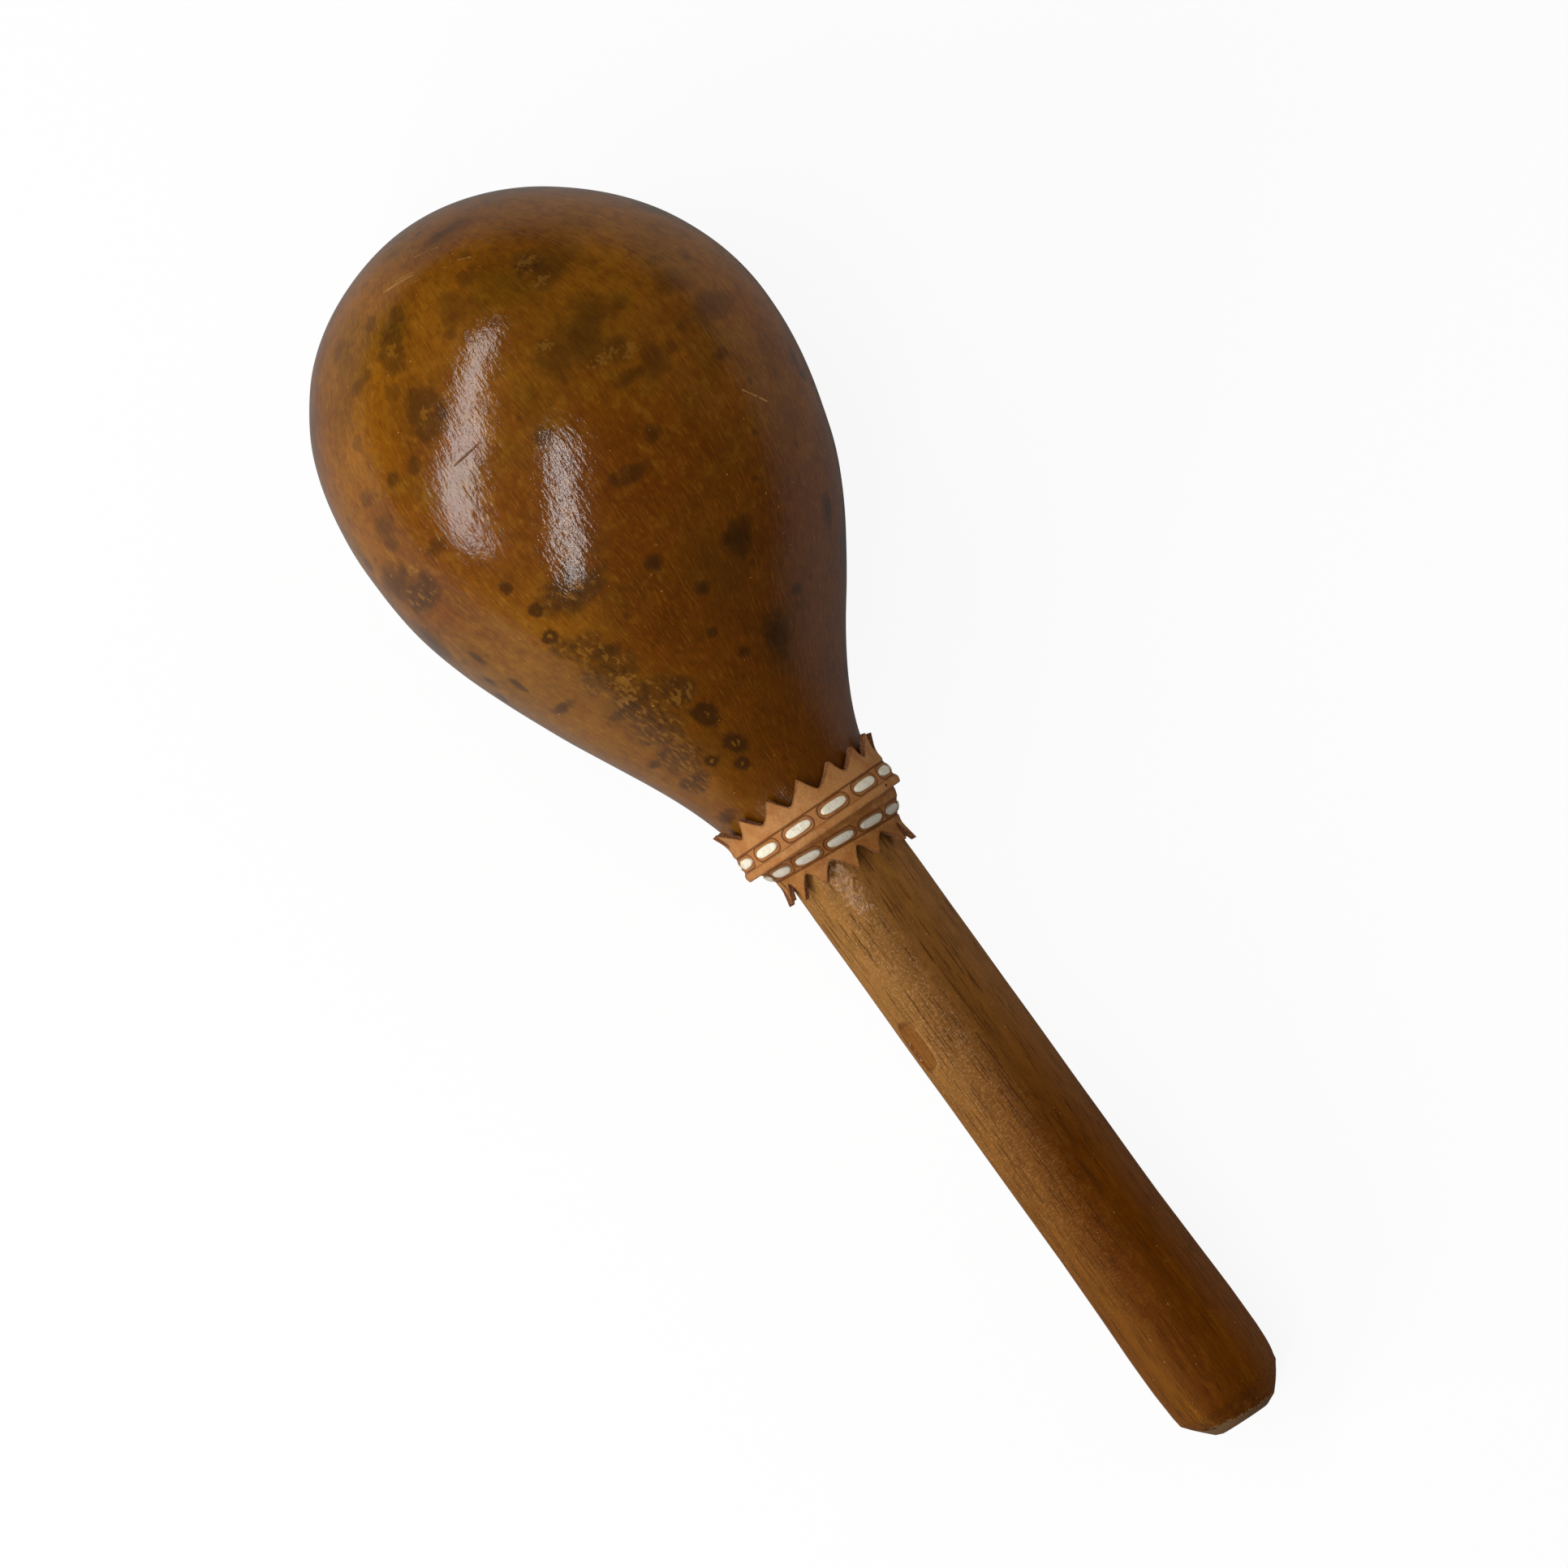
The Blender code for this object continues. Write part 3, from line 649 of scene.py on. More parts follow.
class Strip:
    """A leather strip round the neck. A place on it is a share of its length, a distance from its
    plain edge and a lift from its inner face. Its points are its section's radius and height."""

    def __init__(self, points, seam, stitches, row, groove, valley, tooth, teeth, curl, askew, seed):
        points = [Vector(point) for point in points]
        for _ in range(3):
            cut = [points[0]]
            for a, b in zip(points, points[1:]):
                cut += [a.lerp(b, 0.25), a.lerp(b, 0.75)]
            points = cut + [points[-1]]
        self.points = points
        self.distances = [0.0]
        for a, b in zip(points, points[1:]):
            self.distances.append(self.distances[-1] + (b - a).length)
        self.stitches, self.row, self.groove = stitches, row, groove
        self.valley, self.tooth, self.teeth, self.askew = valley, tooth, teeth, askew
        self.radius = self.section(row)[0].x + LEATHER
        self.start = math.radians(seam) + SEAM_GAP / 2 / self.radius
        self.turn = 2 * math.pi - SEAM_GAP / self.radius
        self.pitch = self.turn * self.radius / stitches
        chance = random.Random(seed)
        self.lengths = [chance.uniform(0.86, 1.12) for _ in range(teeth)]
        self.curls = [curl * chance.uniform(0.4, 1.6) for _ in range(teeth)]
        self.twists = [curl * chance.uniform(-0.2, 1.2) for _ in range(teeth)]
        self.leans = [chance.uniform(-0.1, 0.14) for _ in range(teeth)]

    def section(self, distance):
        """The inner face's point and outward normal at a distance from the plain edge."""
        index = 0
        while index < len(self.points) - 2 and distance > self.distances[index + 1]:
            index += 1
        a, b = self.points[index], self.points[index + 1]
        along = (b - a).normalized()
        normal = Vector((along.y, -along.x))
        if normal.x < 0:
            normal = -normal
        return a + along * (distance - self.distances[index]), normal

    def place(self, along, distance, lift):
        spot, _ = self.section(distance)
        before = self.section(distance - 0.3)[1]
        after = self.section(distance + 0.3)[1]
        spot = spot + (before + after).normalized() * lift
        angle = self.start + along * self.turn
        point = polar(spot.x, angle, spot.y)
        point.z -= self.askew * point.y
        return point

    def tooth_at(self, along):
        """A tooth's number, how far across it a place is, and its height there as a share of its length."""
        place = (along * self.teeth + FIRST_TOOTH) % self.teeth
        number = int(place)
        phase = place - number
        tip = 0.5 + self.leans[number]
        share = phase / tip if phase < tip else (1 - phase) / (1 - tip)
        return number, phase, min(max(share, 0.0) ** 1.4 / 0.93, 1.0)

    def from_middle(self, along):
        """How far along the strip a place lies from the middle of the nearest stitch, in millimetres."""
        return abs(along * self.stitches % 1 - 0.5) * self.pitch

    def from_stitch(self, along, distance):
        """How far outside the nearest stitch's outline a place lies, in millimetres."""
        beyond = max(self.from_middle(along) - (HALF_STITCH - LACE_WIDTH / 2), 0.0)
        return math.hypot(beyond, distance - self.row) - LACE_WIDTH / 2


def leather_finish(name, light, deep):
    finish = Finish(name)
    along = finish.attribute("along")
    row = finish.attribute("row_offset")
    groove = finish.attribute("groove_offset")
    cloud = finish.noise(0.3, 3, 0.6)
    grain = finish.noise(1.7, 4, 0.7, shift=5)
    pores = finish.cells(1.8).rise(0.2, 0.06)
    finish.color = finish.mix(cloud.rise(0.35, 0.68), light, deep)

    # The stitched row is pressed, with an oval line round each stitch and a groove along each side
    across = abs(along.fraction() - 0.5) * finish.attribute("pitch")
    beyond = (across - (HALF_STITCH - LACE_WIDTH / 2)).at_least(0)
    outside = (beyond * beyond + row * row) ** 0.5 - LACE_WIDTH / 2
    pressed = abs(row).rise(1.8, 1.5)
    oval = outside.line(0.6, 0.3)
    line = groove.line(0, 0.26).at_least(row.line(-1.75, 0.24) * 0.5)
    dark = oval.at_least(line)
    finish.tint(pressed * 0.35, deep)
    finish.shade(0.52 + 0.62 * grain + 0.32 * cloud)
    finish.tint(dark * 0.85, (92, 44, 15))
    finish.tint(pores * 0.15, (100, 56, 25))
    worn = finish.noise(1.2, 3, 0.6, shift=12).rise(0.58, 0.72)
    finish.tint(worn * 0.25, (200, 152, 104))

    # Frayed dark edges, and a pin hole painted dark as its shade and sunk by the bump
    fray = finish.noise(4, 3, 0.6, shift=15).rise(0.3, 0.58)
    frayed = finish.attribute("rim").rise(0.42, 0.04) * fray
    pin_hole = polar(PIN_HOLE_RADIUS, PIN_HOLE_ANGLE, PIN_HOLE_HEIGHT)
    shaded_pin_hole = finish.vectors("DISTANCE", finish.place, pin_hole, output="Value").rise(0.5, 0.3)
    # Painted shade in the pin hole
    finish.tint((frayed * 0.7).at_least(shaded_pin_hole), (84, 41, 16))
    finish.bump(grain * 0.5 - pores * 0.25 - dark * 0.7 - shaded_pin_hole + cloud * 0.2, 0.26)
    return finish.paint(Roughness=0.42 + 0.16 * grain, Specular_IOR_Level=0.22)


def cut_edge_finish():
    finish = Finish("cut_leather_edge")
    fuzz = finish.noise(3.6, 4, 0.7)
    tuft = finish.noise(1.6, 2, 0.5, shift=8)
    finish.color = finish.mix(fuzz.rise(0.4, 0.66), (108, 58, 26), (176, 118, 70))
    finish.shade(0.8 + 0.5 * tuft)
    finish.bump(fuzz, 0.4)
    return finish.paint(Roughness=0.75 + 0.2 * fuzz)


def make_collar(name, strip, band, node, finishes):
    """A strip cut flat as a grid with pinked teeth, thickened, pressed and wrapped."""
    columns = strip.teeth * COLUMNS_PER_TOOTH
    rows = PLAIN_ROWS + TOOTH_ROWS
    bm = bmesh.new()
    keys = ("along", "row_offset", "groove_offset", "pitch", "rim")
    layers = [bm.verts.layers.float.new(key) for key in keys]
    thick_grid(bm, columns, rows)
    for face in bm.faces:
        levels = [vert.co.z for vert in face.verts]
        face.material_index = 1 if max(levels) - min(levels) > 0.5 else 0
    for vert in bm.verts:
        along = vert.co.x + 0.5
        level = (vert.co.y + 0.5) * rows
        number, phase, share = strip.tooth_at(along)
        length = strip.tooth * strip.lengths[number] * max(share, 0.03)
        if level <= PLAIN_ROWS:
            distance = strip.valley * level / PLAIN_ROWS
        else:
            distance = strip.valley + length * (level - PLAIN_ROWS) / TOOTH_ROWS
        beyond = max(distance - strip.valley + TOOTH_BEND, 0.0) / (strip.tooth + TOOTH_BEND)
        lift = strip.curls[number] * beyond**2 + strip.twists[number] * phase * beyond
        lift += TOOTH_ARCH * math.sin(math.pi * phase) * beyond
        if vert.co.z > -0.5:
            lift += LEATHER
            lift += band * math.sin(math.pi * min(distance / (strip.row - 1.6), 1.0))
            lift -= ROW_DEPTH * ease(2.0, 1.5, abs(distance - strip.row))
            lift -= SLIT_DEPTH * ease(0.3, 0.0, strip.from_stitch(along, distance))
            lift -= GROOVE_DEPTH * ease(0.45, 0.0, abs(distance - strip.groove))
        ragged = RAGGED_EDGE * wander((along * 420, distance * 2, 0), 1.0, 7.0)
        rim = min(distance, 0.6 * (strip.valley + length - distance))
        offsets = (distance - strip.row, distance - strip.groove)
        for layer, value in zip(layers, (along * strip.stitches, *offsets, strip.pitch, rim)):
            vert[layer] = value
        vert.co = strip.place(along, distance + ragged * (level > PLAIN_ROWS), lift)
    face_out(bm)
    lay_down(name, bm, finishes, [node], sharp=50)


def lace_finish(name, clean, soiled):
    finish = Finish(name)
    run = finish.attribute("run")
    across = finish.attribute("across")
    turns = (run + finish.noise(1, 2) * 0.5) * (2 * math.pi / RIB_LENGTH)
    ribs = turns.sine() * 0.5 + 0.5
    soil = finish.noise(0.5, 3, 0.6, shift=14)
    specks = finish.noise(3.2, 3, 0.6, shift=4).rise(0.6, 0.7)
    finish.color = finish.mix(soil.rise(0.4, 0.7) * 0.6, clean, soiled)
    # Painted shade in the troughs between the ribs
    finish.tint((1 - ribs) * 0.09, (164, 154, 130))
    finish.tint(specks * 0.35, (150, 140, 116))
    # Painted shade along the lace's sides
    finish.tint(abs(across).rise(0.78, 1) * 0.5, (164, 142, 108))
    finish.bump(0.4 * ribs + 0.7 * specks, 0.08)
    return finish.paint(Roughness=0.42 + 0.14 * soil)


def make_lace(name, strip, node, finish):
    """A flat lace as a long grid: over the leather at each stitch and under it between them."""
    bm = bmesh.new()
    run, across = (bm.verts.layers.float.new(key) for key in ("run", "across"))
    thick_grid(bm, strip.stitches * COLUMNS_PER_STITCH, LACE_ROWS)
    for vert in bm.verts:
        along = vert.co.x + 0.5
        side = 2 * vert.co.y
        from_middle = strip.from_middle(along)
        end = min(from_middle / HALF_STITCH, 1.0)
        narrow = math.sqrt(max(1 - end**3.2, 0.06))
        dive = ease(HALF_STITCH - 0.25, HALF_STITCH + 0.4, from_middle)
        top = LEATHER - LACE_SINK + LACE_THICKNESS + LACE_DOME * (1 - side * side) - LACE_DROP * end**4
        bottom = -LACE_THICKNESS - LACE_CLEARANCE
        lift = top + (bottom - top) * dive - LACE_THICKNESS * (vert.co.z < -0.5)
        ragged = 1 + 0.06 * wander((along * 300, side, 0), 1.0, 3.0)
        vert[run] = along * strip.stitches * strip.pitch
        vert[across] = side
        distance = strip.row + side * LACE_WIDTH / 2 * narrow * ragged
        vert.co = strip.place(along, distance, lift)
    face_out(bm)
    lay_down(name, bm, [finish], [node], sharp=60)


def make_collars():
    end = GRIP_LENGTH
    upper = Strip(
        [(17, end + 0.5), (16.95, end + 5.2), (16.53, end + 8.7), (17.5, end + 12.6)],
        seam=-83, stitches=13, row=3.6, groove=5.35, valley=8.2,
        tooth=4, teeth=16, curl=0.3, askew=0.03, seed=3,
    )
    lower = Strip(
        [(15.45, end + 2.8), (15.2, end + 0.2), (12.4, end - 4.1), (12.4, end - 8.6)],
        seam=-69, stitches=12, row=4.7, groove=6.5, valley=7.9,
        tooth=4.4, teeth=14, curl=0.7, askew=0.105, seed=8,
    )
    upper.curls[1] = LOOSE_TOOTH_CURL
    cut_edge = cut_edge_finish()
    white_lace = lace_finish("white_lace", (232, 223, 200), (204, 193, 168))
    # The lower lace is a greyer, darker copy of the white one: painted shade for lying below the upper
    # strip's band
    shaded_lace = lace_finish("shaded_lace", (200, 191, 174), (172, 162, 144))
    upper_leather = leather_finish("tan_leather", (176, 122, 68), (156, 99, 48))
    # The lower leather is browner than the upper, and darker with painted shade for lying below the upper
    # strip's band
    lower_leather = leather_finish("shaded_brown_leather", (158, 104, 48), (134, 80, 30))
    make_collar("upper_leather", upper, ROLLED_BAND, "upper_collar", [upper_leather, cut_edge])
    make_collar("lower_leather", lower, 0, "lower_collar", [lower_leather, cut_edge])
    make_lace("upper_lacing", upper, "upper_lace", white_lace)
    make_lace("lower_lacing", lower, "lower_lace", shaded_lace)


# Handle

HANDLE_SIDES = 128
OUTLINE_STEP = 0.9
WHITTLED_RIM = [(0, 0), (3, 0), (5.4, 0.7), (7.4, 1.6), (9, 3.3), (10.6, 5.1), (12, 6.9)]
SWELL = [(12.25, 9), (12.5, 15), (12.5, 24), (12.25, 36), (12, 48)]
WORN_HEIGHT = 7.0
WORN_DEPTH = 0.45
GOUGE_ANGLE = math.radians(-58.5)
GOUGE_HEIGHT = 99.5
GOUGE_HALF_LENGTH = 5.6
GOUGE_HALF_WIDTH = 3.1
GOUGE_DEPTH = 0.42


def handle_outline():
    """Radius and height from the middle of the butt to the top of the tenon."""
    top = GRIP_LENGTH + TENON_LENGTH
    points = WHITTLED_RIM + SWELL + [(HANDLE_RADIUS, GRIP_LENGTH)]
    points += [(HANDLE_RADIUS, top - TENON_CHAMFER), (HANDLE_RADIUS - TENON_CHAMFER, top), (0, top)]
    points = [Vector(point) for point in points]
    outline = []
    for a, b in zip(points, points[1:]):
        steps = max(1, round((b - a).length / OUTLINE_STEP))
        outline += [a.lerp(b, step / steps) for step in range(steps)]
    return outline + [points[-1]]


def handle_finish():
    finish = Finish("stained_wood")
    x, y, height = finish.axes()

    # Stain that is thin and pale near the gourd and thick towards the butt, paler on the -Y side, and a
    # painted sheen, lighter and greyer, on the +Y side
    stained = height.rise(140, 24)
    thick = (stained * 0.8 + y.rise(-9, 1) * 0.42).at_most(1)
    finish.color = finish.mix(thick, (134, 92, 44), (86, 42, 0))
    # Painted sheen: lighter and greyer on the +Y side, standing for the dull reflection along that side
    finish.shade(1 + 0.62 * y.rise(1, 12))
    finish.tint(y.rise(5, 12) * 0.32, (116, 86, 60))
    cloud = finish.stretched(0.5, 0.22, 4, 0.62, shift=16)
    finish.shade(0.6 + 0.8 * cloud)
    finish.tint(cloud.rise(0.5, 0.66) * stained * 0.4, (98, 58, 6))
    bands = finish.stretched(0.3, 0.006, 2, 0.5, shift=3)
    finish.tint(bands.rise(0.46, 0.7) * 0.13, (76, 38, 2))
    finish.tint(bands.rise(0.44, 0.3) * 0.2, (142, 92, 20))

    # Straight grain, pale ray flecks across it, dark pores, dust
    figure = finish.stretched(1.7, 0.05, 4, 0.62)
    speckle = finish.stretched(2.4, 1.6, shift=44)
    finish.shade(0.46 + 0.62 * figure + 0.44 * speckle)
    rays = finish.stretched(1.2, 2.6, shift=7)
    flecked = height.rise(8, 84) * y.rise(6, -6)
    finish.tint(rays.rise(0.46, 0.7) * 0.26 * flecked, (176, 130, 78))
    pores = finish.stretched(3.3, 0.13, 1, 0.4, shift=12)
    open_grain = finish.stretched(0.25, 0.04, 2, 0.5, shift=25)
    pore = pores.rise(0.62, 0.67) * open_grain.rise(0.32, 0.52) * (0.7 + 0.3 * height.rise(20, 100))
    finish.tint(pore * 0.6, (54, 26, 2))
    dust = finish.cells(0.42).rise(0.07, 0.03)
    finish.tint(dust * 0.5, (200, 160, 104))

    # Bare ragged wood round the sawn end, with pale splinters and a dark chip beside it
    ragged = finish.noise(0.8, 4, 0.65, shift=22) - 0.5
    edge = height + y * 0.13 + ragged * 2.6
    finish.tint(edge.rise(2.8, 2.6) * 0.9, (104, 80, 54))
    finish.tint(edge.line(2.8, 0.35) * pores.rise(0.48, 0.54) * 0.6, (176, 138, 92))
    chip = finish.scratch((5, -8.4, 4.2), (6.3, -6.4, 3.3), 1)
    finish.tint(chip * 0.85, (44, 18, 4))

    # A flat gouge, with painted shade at its end towards the gourd and along its rim towards -Y, and a
    # painted highlight along its rim towards +Y
    across = (y.turn_from(x) - GOUGE_ANGLE) * HANDLE_RADIUS + ragged * 0.9
    along = height - GOUGE_HEIGHT + ragged * 0.8
    reach = abs(across / GOUGE_HALF_WIDTH) ** 3 + abs(along / GOUGE_HALF_LENGTH) ** 3
    finish.tint(reach.rise(1, 0.7) * 0.75, (112, 66, 22))
    # Painted highlight along the rim towards +Y
    finish.tint(reach.line(1, 0.35) * across.rise(0.5, 2) * 0.32, (186, 140, 88))
    # Painted shade along the rim towards -Y and at the end towards the gourd
    shaded_rim = across.rise(-0.5, -2).at_least(along.rise(3, 5))
    finish.tint(reach.line(1, 0.5) * shaded_rim * 0.55, (74, 36, 8))

    # Lacquer that is crinkled near the gourd, with the glints of its highlight painted as pale specks in a
    # band just to the -Y side of the middle
    crinkle = finish.stretched(2.4, 1.7, shift=33)
    sparkle = crinkle.rise(0.5, 0.6) * height.rise(50, 110)
    highlight_band = y.rise(-12, -6) * y.rise(3, -4)
    painted_glints = crinkle.rise(0.55, 0.66) * height.rise(62, 118) * highlight_band
    # Painted glints: pale specks where the crinkled lacquer's highlight falls
    finish.tint(painted_glints * 0.4, (184, 142, 92))
    finish.bump(rays * 0.3 + figure * 0.3 - pore * 0.7 - chip - edge.rise(2.8, 2.6) * 0.6, 0.2)
    gloss = {"Specular_IOR_Level": 0.035, "Coat_Weight": sparkle * 0.22, "Coat_Roughness": 0.34}
    return finish.paint(Roughness=0.4 + 0.16 * figure, **gloss)


def gouge_depth(spot):
    """How far the flat of the gouge lies below the round handle at a place."""
    turn = math.atan2(spot.y, spot.x) - GOUGE_ANGLE
    flat = (HANDLE_RADIUS - GOUGE_DEPTH) / max(math.cos(turn), 0.5)
    length = ease(GOUGE_HALF_LENGTH, GOUGE_HALF_LENGTH - 0.9, abs(spot.z - GOUGE_HEIGHT))
    return max(HANDLE_RADIUS - flat, 0.0) * length


def end_grain_finish():
    finish = Finish("raw_end_grain")
    x, y, _ = finish.axes()
    wobble = finish.noise(0.3, 2)
    from_heart = (x + 20, y - 9)
    reach = sum(way * way for way in from_heart) ** 0.5 + wobble * 2
    rings = (reach * 3.2).sine() * 0.5 + 0.5
    specks = finish.noise(3, 3, 0.65)
    finish.color = finish.mix(rings * 0.5, (112, 88, 62), (92, 70, 46))
    finish.shade(0.65 + 0.7 * specks)
    finish.bump(specks, 0.3)
    return finish.paint(Roughness=0.8 + 0.1 * specks)


def make_handle():
    bm = bmesh.new()
    turned(bm, handle_outline(), HANDLE_SIDES)
    gouge = polar(HANDLE_RADIUS, GOUGE_ANGLE, GOUGE_HEIGHT)
    near = [edge for edge in bm.edges if all((vert.co - gouge).length < 8 for vert in edge.verts)]
    bmesh.ops.subdivide_edges(bm, edges=near, cuts=2, use_grid_fill=True)
    for vert in bm.verts:
        spot = vert.co.copy()
        out = Vector((spot.x, spot.y, 0)).normalized() if spot.xy.length > 0.01 else Vector((0, 0, 0))
        if spot.z < GRIP_LENGTH - 12:
            vert.co += out * 0.1 * wander(spot, 18, 1.0)
        worn = math.exp(-(((spot.z - WORN_HEIGHT) / 2.6) ** 2)) * ease(2.0, 11.0, spot.y)
        vert.co -= out * (gouge_depth(spot) + WORN_DEPTH * worn)
    down = polar(math.sin(BUTT_CUT_TILT), BUTT_CUT_HEADING, -math.cos(BUTT_CUT_TILT))
    everything = bm.verts[:] + bm.edges[:] + bm.faces[:]
    base = (0, 0, BUTT_CUT_DEPTH)
    bmesh.ops.bisect_plane(bm, geom=everything, plane_co=base, plane_no=down, clear_outer=True)
    bmesh.ops.holes_fill(bm, edges=[edge for edge in bm.edges if edge.is_boundary])
    face_out(bm)
    for face in bm.faces:
        if face.normal.dot(down) > 0.995 and face.calc_center_median().z < 4:
            face.material_index = 1
    finishes = [handle_finish(), end_grain_finish()]
    lay_down("handle_stick", bm, finishes, ["handle"], sharp=35)


# Glue and seeds

FILM_COLUMNS_PER_MM = 16.3
FILM_ROWS_PER_MM = 13.5
FILM_EDGE = 0.12
FILM_ROOT = 0.4
SEED_RADIUS = 2.78
SEED_SHAPE = (1.0, 0.95, 0.9)
SEED_SCAR_DEPTH = 0.35
FULL_TURN = 6.28


def glue_finish():
    finish = Finish("amber_glue")
    cloud = finish.noise(0.4)
    finish.color = finish.mix(cloud, (196, 160, 96), (160, 116, 56))
    finish.bump(finish.noise(0.9), 0.4)
    return finish.paint(Roughness=0.2 + 0.2 * cloud)


def film_finish(name, light, deep, crinkle):
    finish = Finish(name)
    cloud = finish.noise(0.9)
    finish.color = finish.mix(cloud.rise(0.4, 0.65), light, deep)
    finish.bump(finish.noise(1.1, 2, 0.5), crinkle)
    return finish.paint(Roughness=0.06 + 0.06 * cloud)


def make_film(name, middle, angle, half_length, half_width, flare, thick, lean, crinkled, finish):
    """A crinkled film that dried on the handle, thin at its edges and sunk into the wood below."""
    bm = bmesh.new()
    columns = round(FILM_COLUMNS_PER_MM * half_width)
    rows = round(FILM_ROWS_PER_MM * half_length)
    thick_grid(bm, columns, rows, size=1.0)
    for vert in bm.verts:
        across, along = vert.co.x, vert.co.y
        height = middle + half_length * along
        edge = half_width * (1 + flare * along + 0.26 * wander((across > 0, 0, height), 2.2, 6.0))
        turn = math.radians(angle) + across * edge / HANDLE_RADIUS
        film = thick * (1 - lean * across) * (1 - across**4) * (1 - along**6) - FILM_EDGE
        flat = Vector((across * edge, along * half_length, 0))
        crinkle = wander(flat, 0.9, 2.0) + 0.5 * wander(flat, 0.45, 9.0)
        film += crinkled * crinkle * (1 - across**2) * (1 - along**4)
        if vert.co.z < -0.5:
            film = -FILM_ROOT
        wood = polar(HANDLE_RADIUS, turn, height)
        vert.co = polar(HANDLE_RADIUS - gouge_depth(wood) + film, turn, height)
    face_out(bm)
    lay_down(name, bm, [finish], [], sharp=80)


def make_films():
    """Glue that ran out below the lower strip, and a bead of lacquer on the gouge's rim."""
    smear = film_finish("dried_glue_smear", (150, 104, 54), (120, 78, 32), 0.4)
    make_film("glue_smear", 133.8, -13, 6.8, 2.7, 0.25, 0.3, 0.0, 0.1, smear)
    bead = film_finish("lacquer_bead", (120, 70, 24), (84, 44, 12), 0.1)
    make_film("gouge_bead", 98.2, -68.5, 3.6, 0.5, -0.1, 0.34, 1.0, 0.02, bead)


def seed_finish():
    finish = Finish("dry_seed_coat")
    here = finish.node("TexCoord", output="Object")
    fine = finish.noise(900, vector=here)
    broad = finish.noise(260, 2, shift=3, vector=here)
    finish.color = finish.mix(broad.rise(0.35, 0.65), (52, 36, 24), (30, 20, 14))
    finish.tint(fine.rise(0.6, 0.75) * 0.6, (92, 68, 44))
    finish.bump(fine, 0.06)
    return finish.paint(Roughness=0.34 + 0.2 * fine)


def make_seeds():
    """A round hard seed with a pitted scar on one side stands for each loose seed."""
    material = seed_finish()
    chance = random.Random(5)
    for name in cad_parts:
        if not name.startswith("seed_"):
            continue
        low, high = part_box(name)
        middle = (Vector(low) + Vector(high)) / 2
        bm = bmesh.new()
        bmesh.ops.create_icosphere(bm, subdivisions=3, radius=SEED_RADIUS)
        bmesh.ops.scale(bm, vec=SEED_SHAPE, verts=bm.verts)
        for vert in bm.verts:
            from_scar = (vert.co - Vector((SEED_RADIUS, 0, 0))).length
            vert.co.x -= SEED_SCAR_DEPTH * ease(1.1, 0.2, from_scar)
            vert.co *= 1 + 0.012 * wander(vert.co, 1.6, chance.random())
        spin = Matrix.Rotation(chance.uniform(0, FULL_TURN), 4, "Z")
        tumble = Matrix.Rotation(chance.uniform(0, FULL_TURN), 4, "X")
        home = Matrix.Translation(middle) @ Matrix.Scale(MM, 4)
        bmesh.ops.transform(bm, matrix=home @ (spin @ tumble), verts=bm.verts)
        loose = "loose_" + name
        add_piece(loose, mesh_of(loose, bm), [material], [name], 60, name)


make_gourd()
make_collars()
make_handle()
make_films()
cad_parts["neck_glue"].material_slots[0].material = glue_finish()
make_seeds()


# Floor, light and camera

FLOOR_HALF = 1.1
FLOOR_WHITE = 0.91
FLOOR_SEEN = 0.95
FLOOR_LIT = 0.6
FLOOR_MIRRORED = 0.25
ROOM_LIGHT = 0.24
ROOM_MIRRORED = 0.02
ROOM_SEEN = 0.97
WHITE = (1, 1, 1, 1)
LENS = 137.6
SENSOR = 36.0
PICTURE_RIGHT = Vector((0, 0.8112, -0.5848))
PICTURE_UP = Vector((0, 0.5848, 0.8112))

# Lamps: two ends in upright millimetres, width, radiance, and whether gloss mirrors it
LAMPS = {
    "left_strip_top": ((1103, 11, 1670), (926, -769, 626), 200, 6.7, True),
    "left_strip_end": ((926, -769, 626), (534, -1414, 112), 230, 6.5, True),
    "near_strip": ((1402, -80, 266), (964, -929, -505), 112, 10.5, True),
    "left_fill": ((350, -1150, -350), (350, -1150, 750), 700, 4.0, False),
    "right_fill": ((350, 1150, -350), (350, 1150, 750), 700, 1.2, False),
}


def turned_to(right, up, back, place):
    """The matrix of a lamp or camera at a place, whose own axes are given."""
    return Matrix.Translation(place) @ Matrix((right, up, back)).transposed().to_4x4()


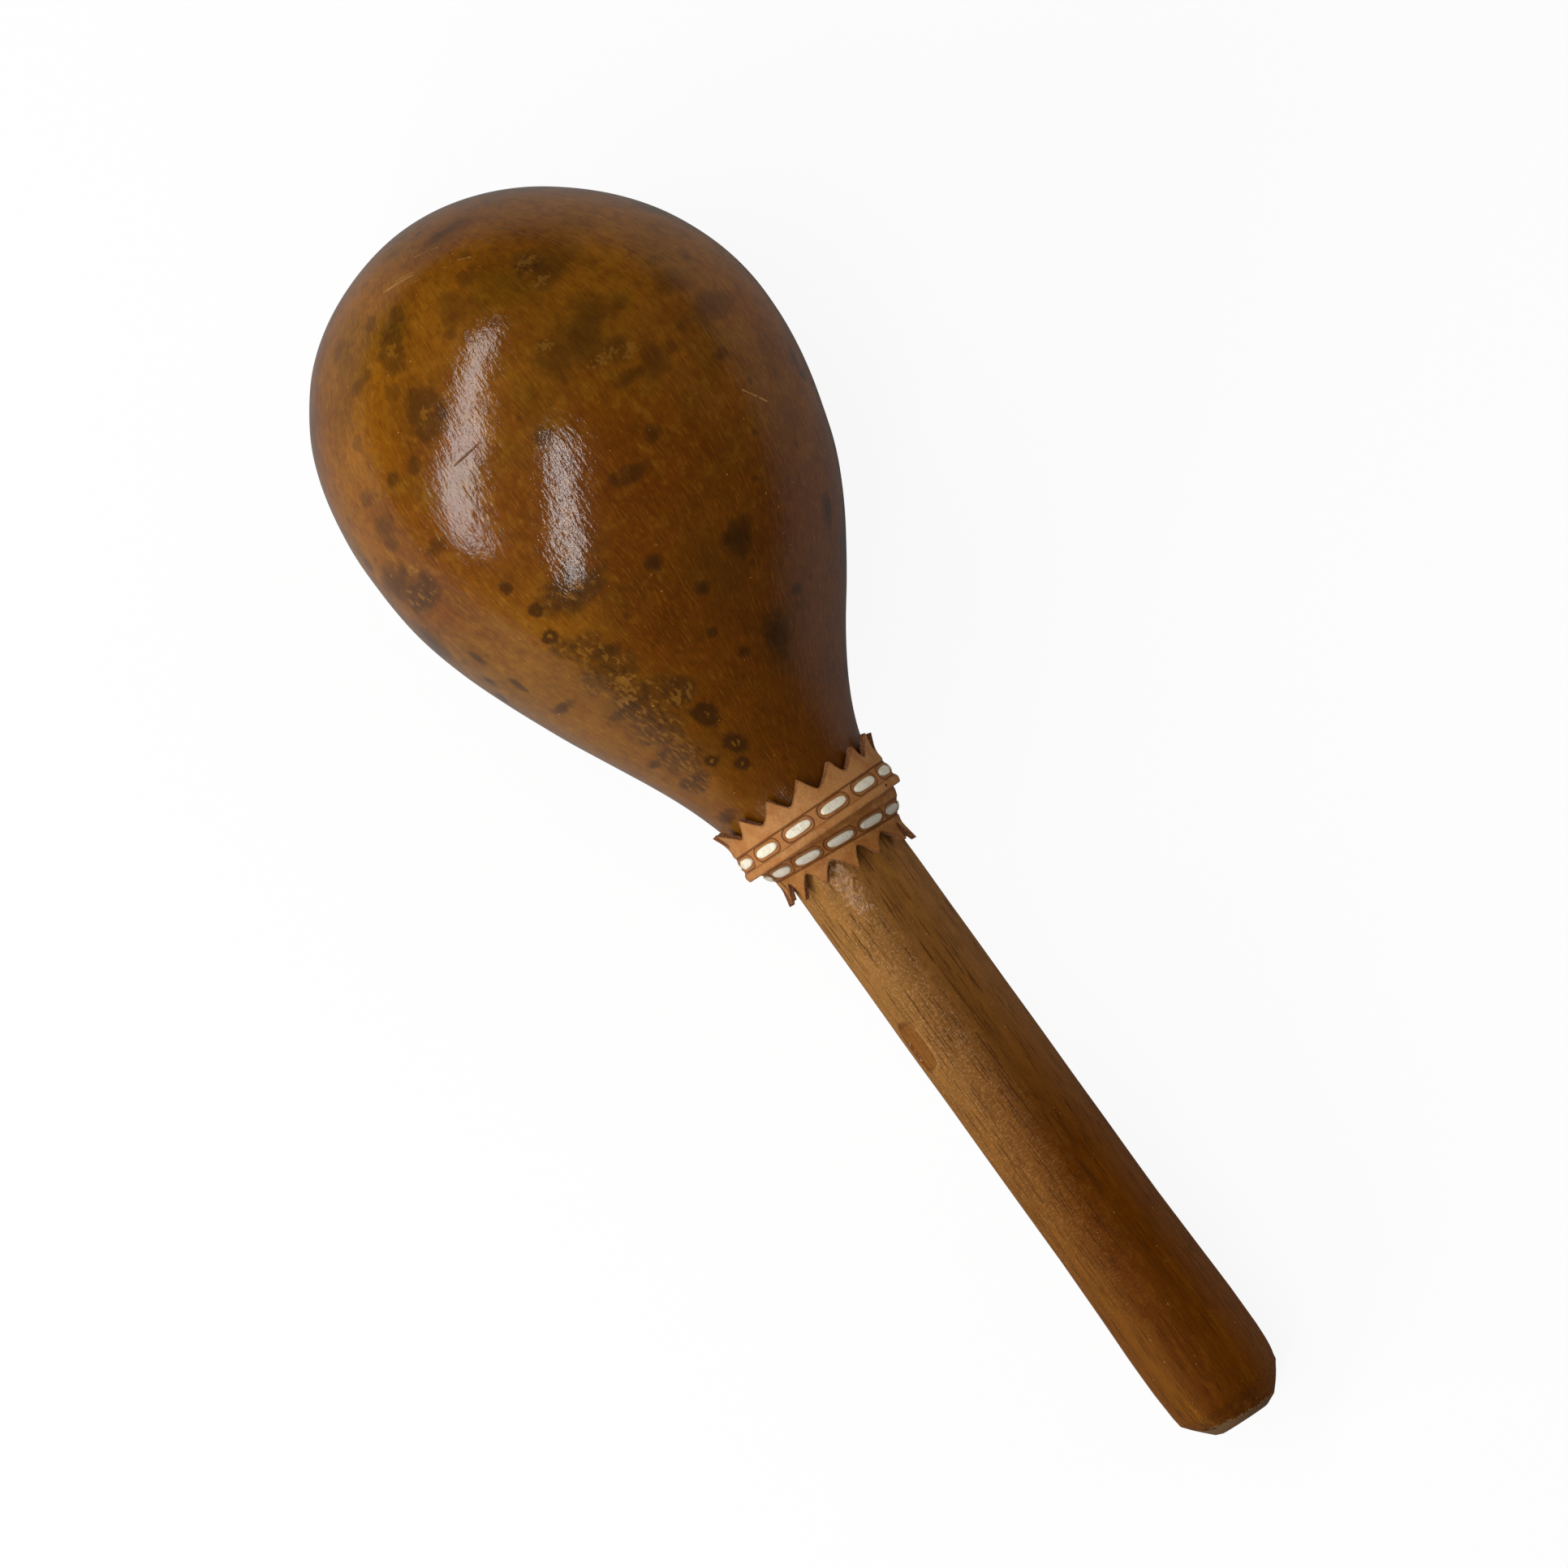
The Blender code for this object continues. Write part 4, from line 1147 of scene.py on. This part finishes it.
def make_floor():
    bm = bmesh.new()
    bmesh.ops.create_grid(bm, x_segments=1, y_segments=1, size=FLOOR_HALF)
    mesh = mesh_of("pale_floor", bm)
    floor = add_object("pale_floor", mesh)
    finish = Finish("pale_paper")
    finish.color = finish.by_ray(FLOOR_LIT, FLOOR_MIRRORED, FLOOR_SEEN)
    mesh.materials.append(finish.paint(Roughness=0.9, Specular_IOR_Level=0))
    matt = Value(finish, finish.shader.outputs[0])
    white = finish.node("Emission", None, {"Color": WHITE, "Strength": 1})
    both = finish.node("MixShader", None, {0: finish.ray("Camera") * FLOOR_WHITE, 1: matt, 2: white})
    finish.feed(finish.tree.nodes["Material Output"].inputs["Surface"], both)


def make_light(name, start, end, width, radiance, mirrored):
    """A long soft panel between two points in upright millimetres, which faces the gourd's belly."""
    start, end = UPRIGHT @ Vector(start), UPRIGHT @ Vector(end)
    middle = (start + end) / 2
    up = (end - start).normalized()
    back = middle - UPRIGHT @ Vector((0, 0, BELLY))
    back = (back - up * back.dot(up)).normalized()
    data = bpy.data.lights.new(name, "AREA")
    data.shape = "RECTANGLE"
    data.size = width * MM
    data.size_y = (end - start).length
    data.energy = math.pi * data.size * data.size_y * radiance
    light = add_object(name, data)
    light.matrix_world = turned_to(up.cross(back), up, back, middle)
    light.visible_camera = False
    light.visible_glossy = mirrored


def make_camera():
    """Square on to the handle's axis, on the side that faces up."""
    turn = UPRIGHT.to_3x3().normalized()
    back = turn @ Vector((1, 0, 0))
    data = bpy.data.cameras.new("camera")
    data.sensor_width = SENSOR
    data.lens = LENS
    camera = add_object("camera", data)
    camera.matrix_world = turned_to(turn @ PICTURE_RIGHT, turn @ PICTURE_UP, back, UPRIGHT @ EYE)
    bpy.context.scene.camera = camera


def make_world():
    """Even light from all round, dim where gloss mirrors it and white to the camera."""
    studio = Finish("studio", "worlds", "Background")
    studio.feed(studio.shader.inputs["Color"], WHITE)
    level = studio.by_ray(ROOM_LIGHT, ROOM_MIRRORED, ROOM_SEEN)
    studio.feed(studio.shader.inputs["Strength"], level)
    bpy.context.scene.world = studio.material


make_floor()
for lamp, settings in LAMPS.items():
    make_light(lamp, *settings)
make_camera()
make_world()
bpy.context.scene.view_settings.view_transform = "Standard"
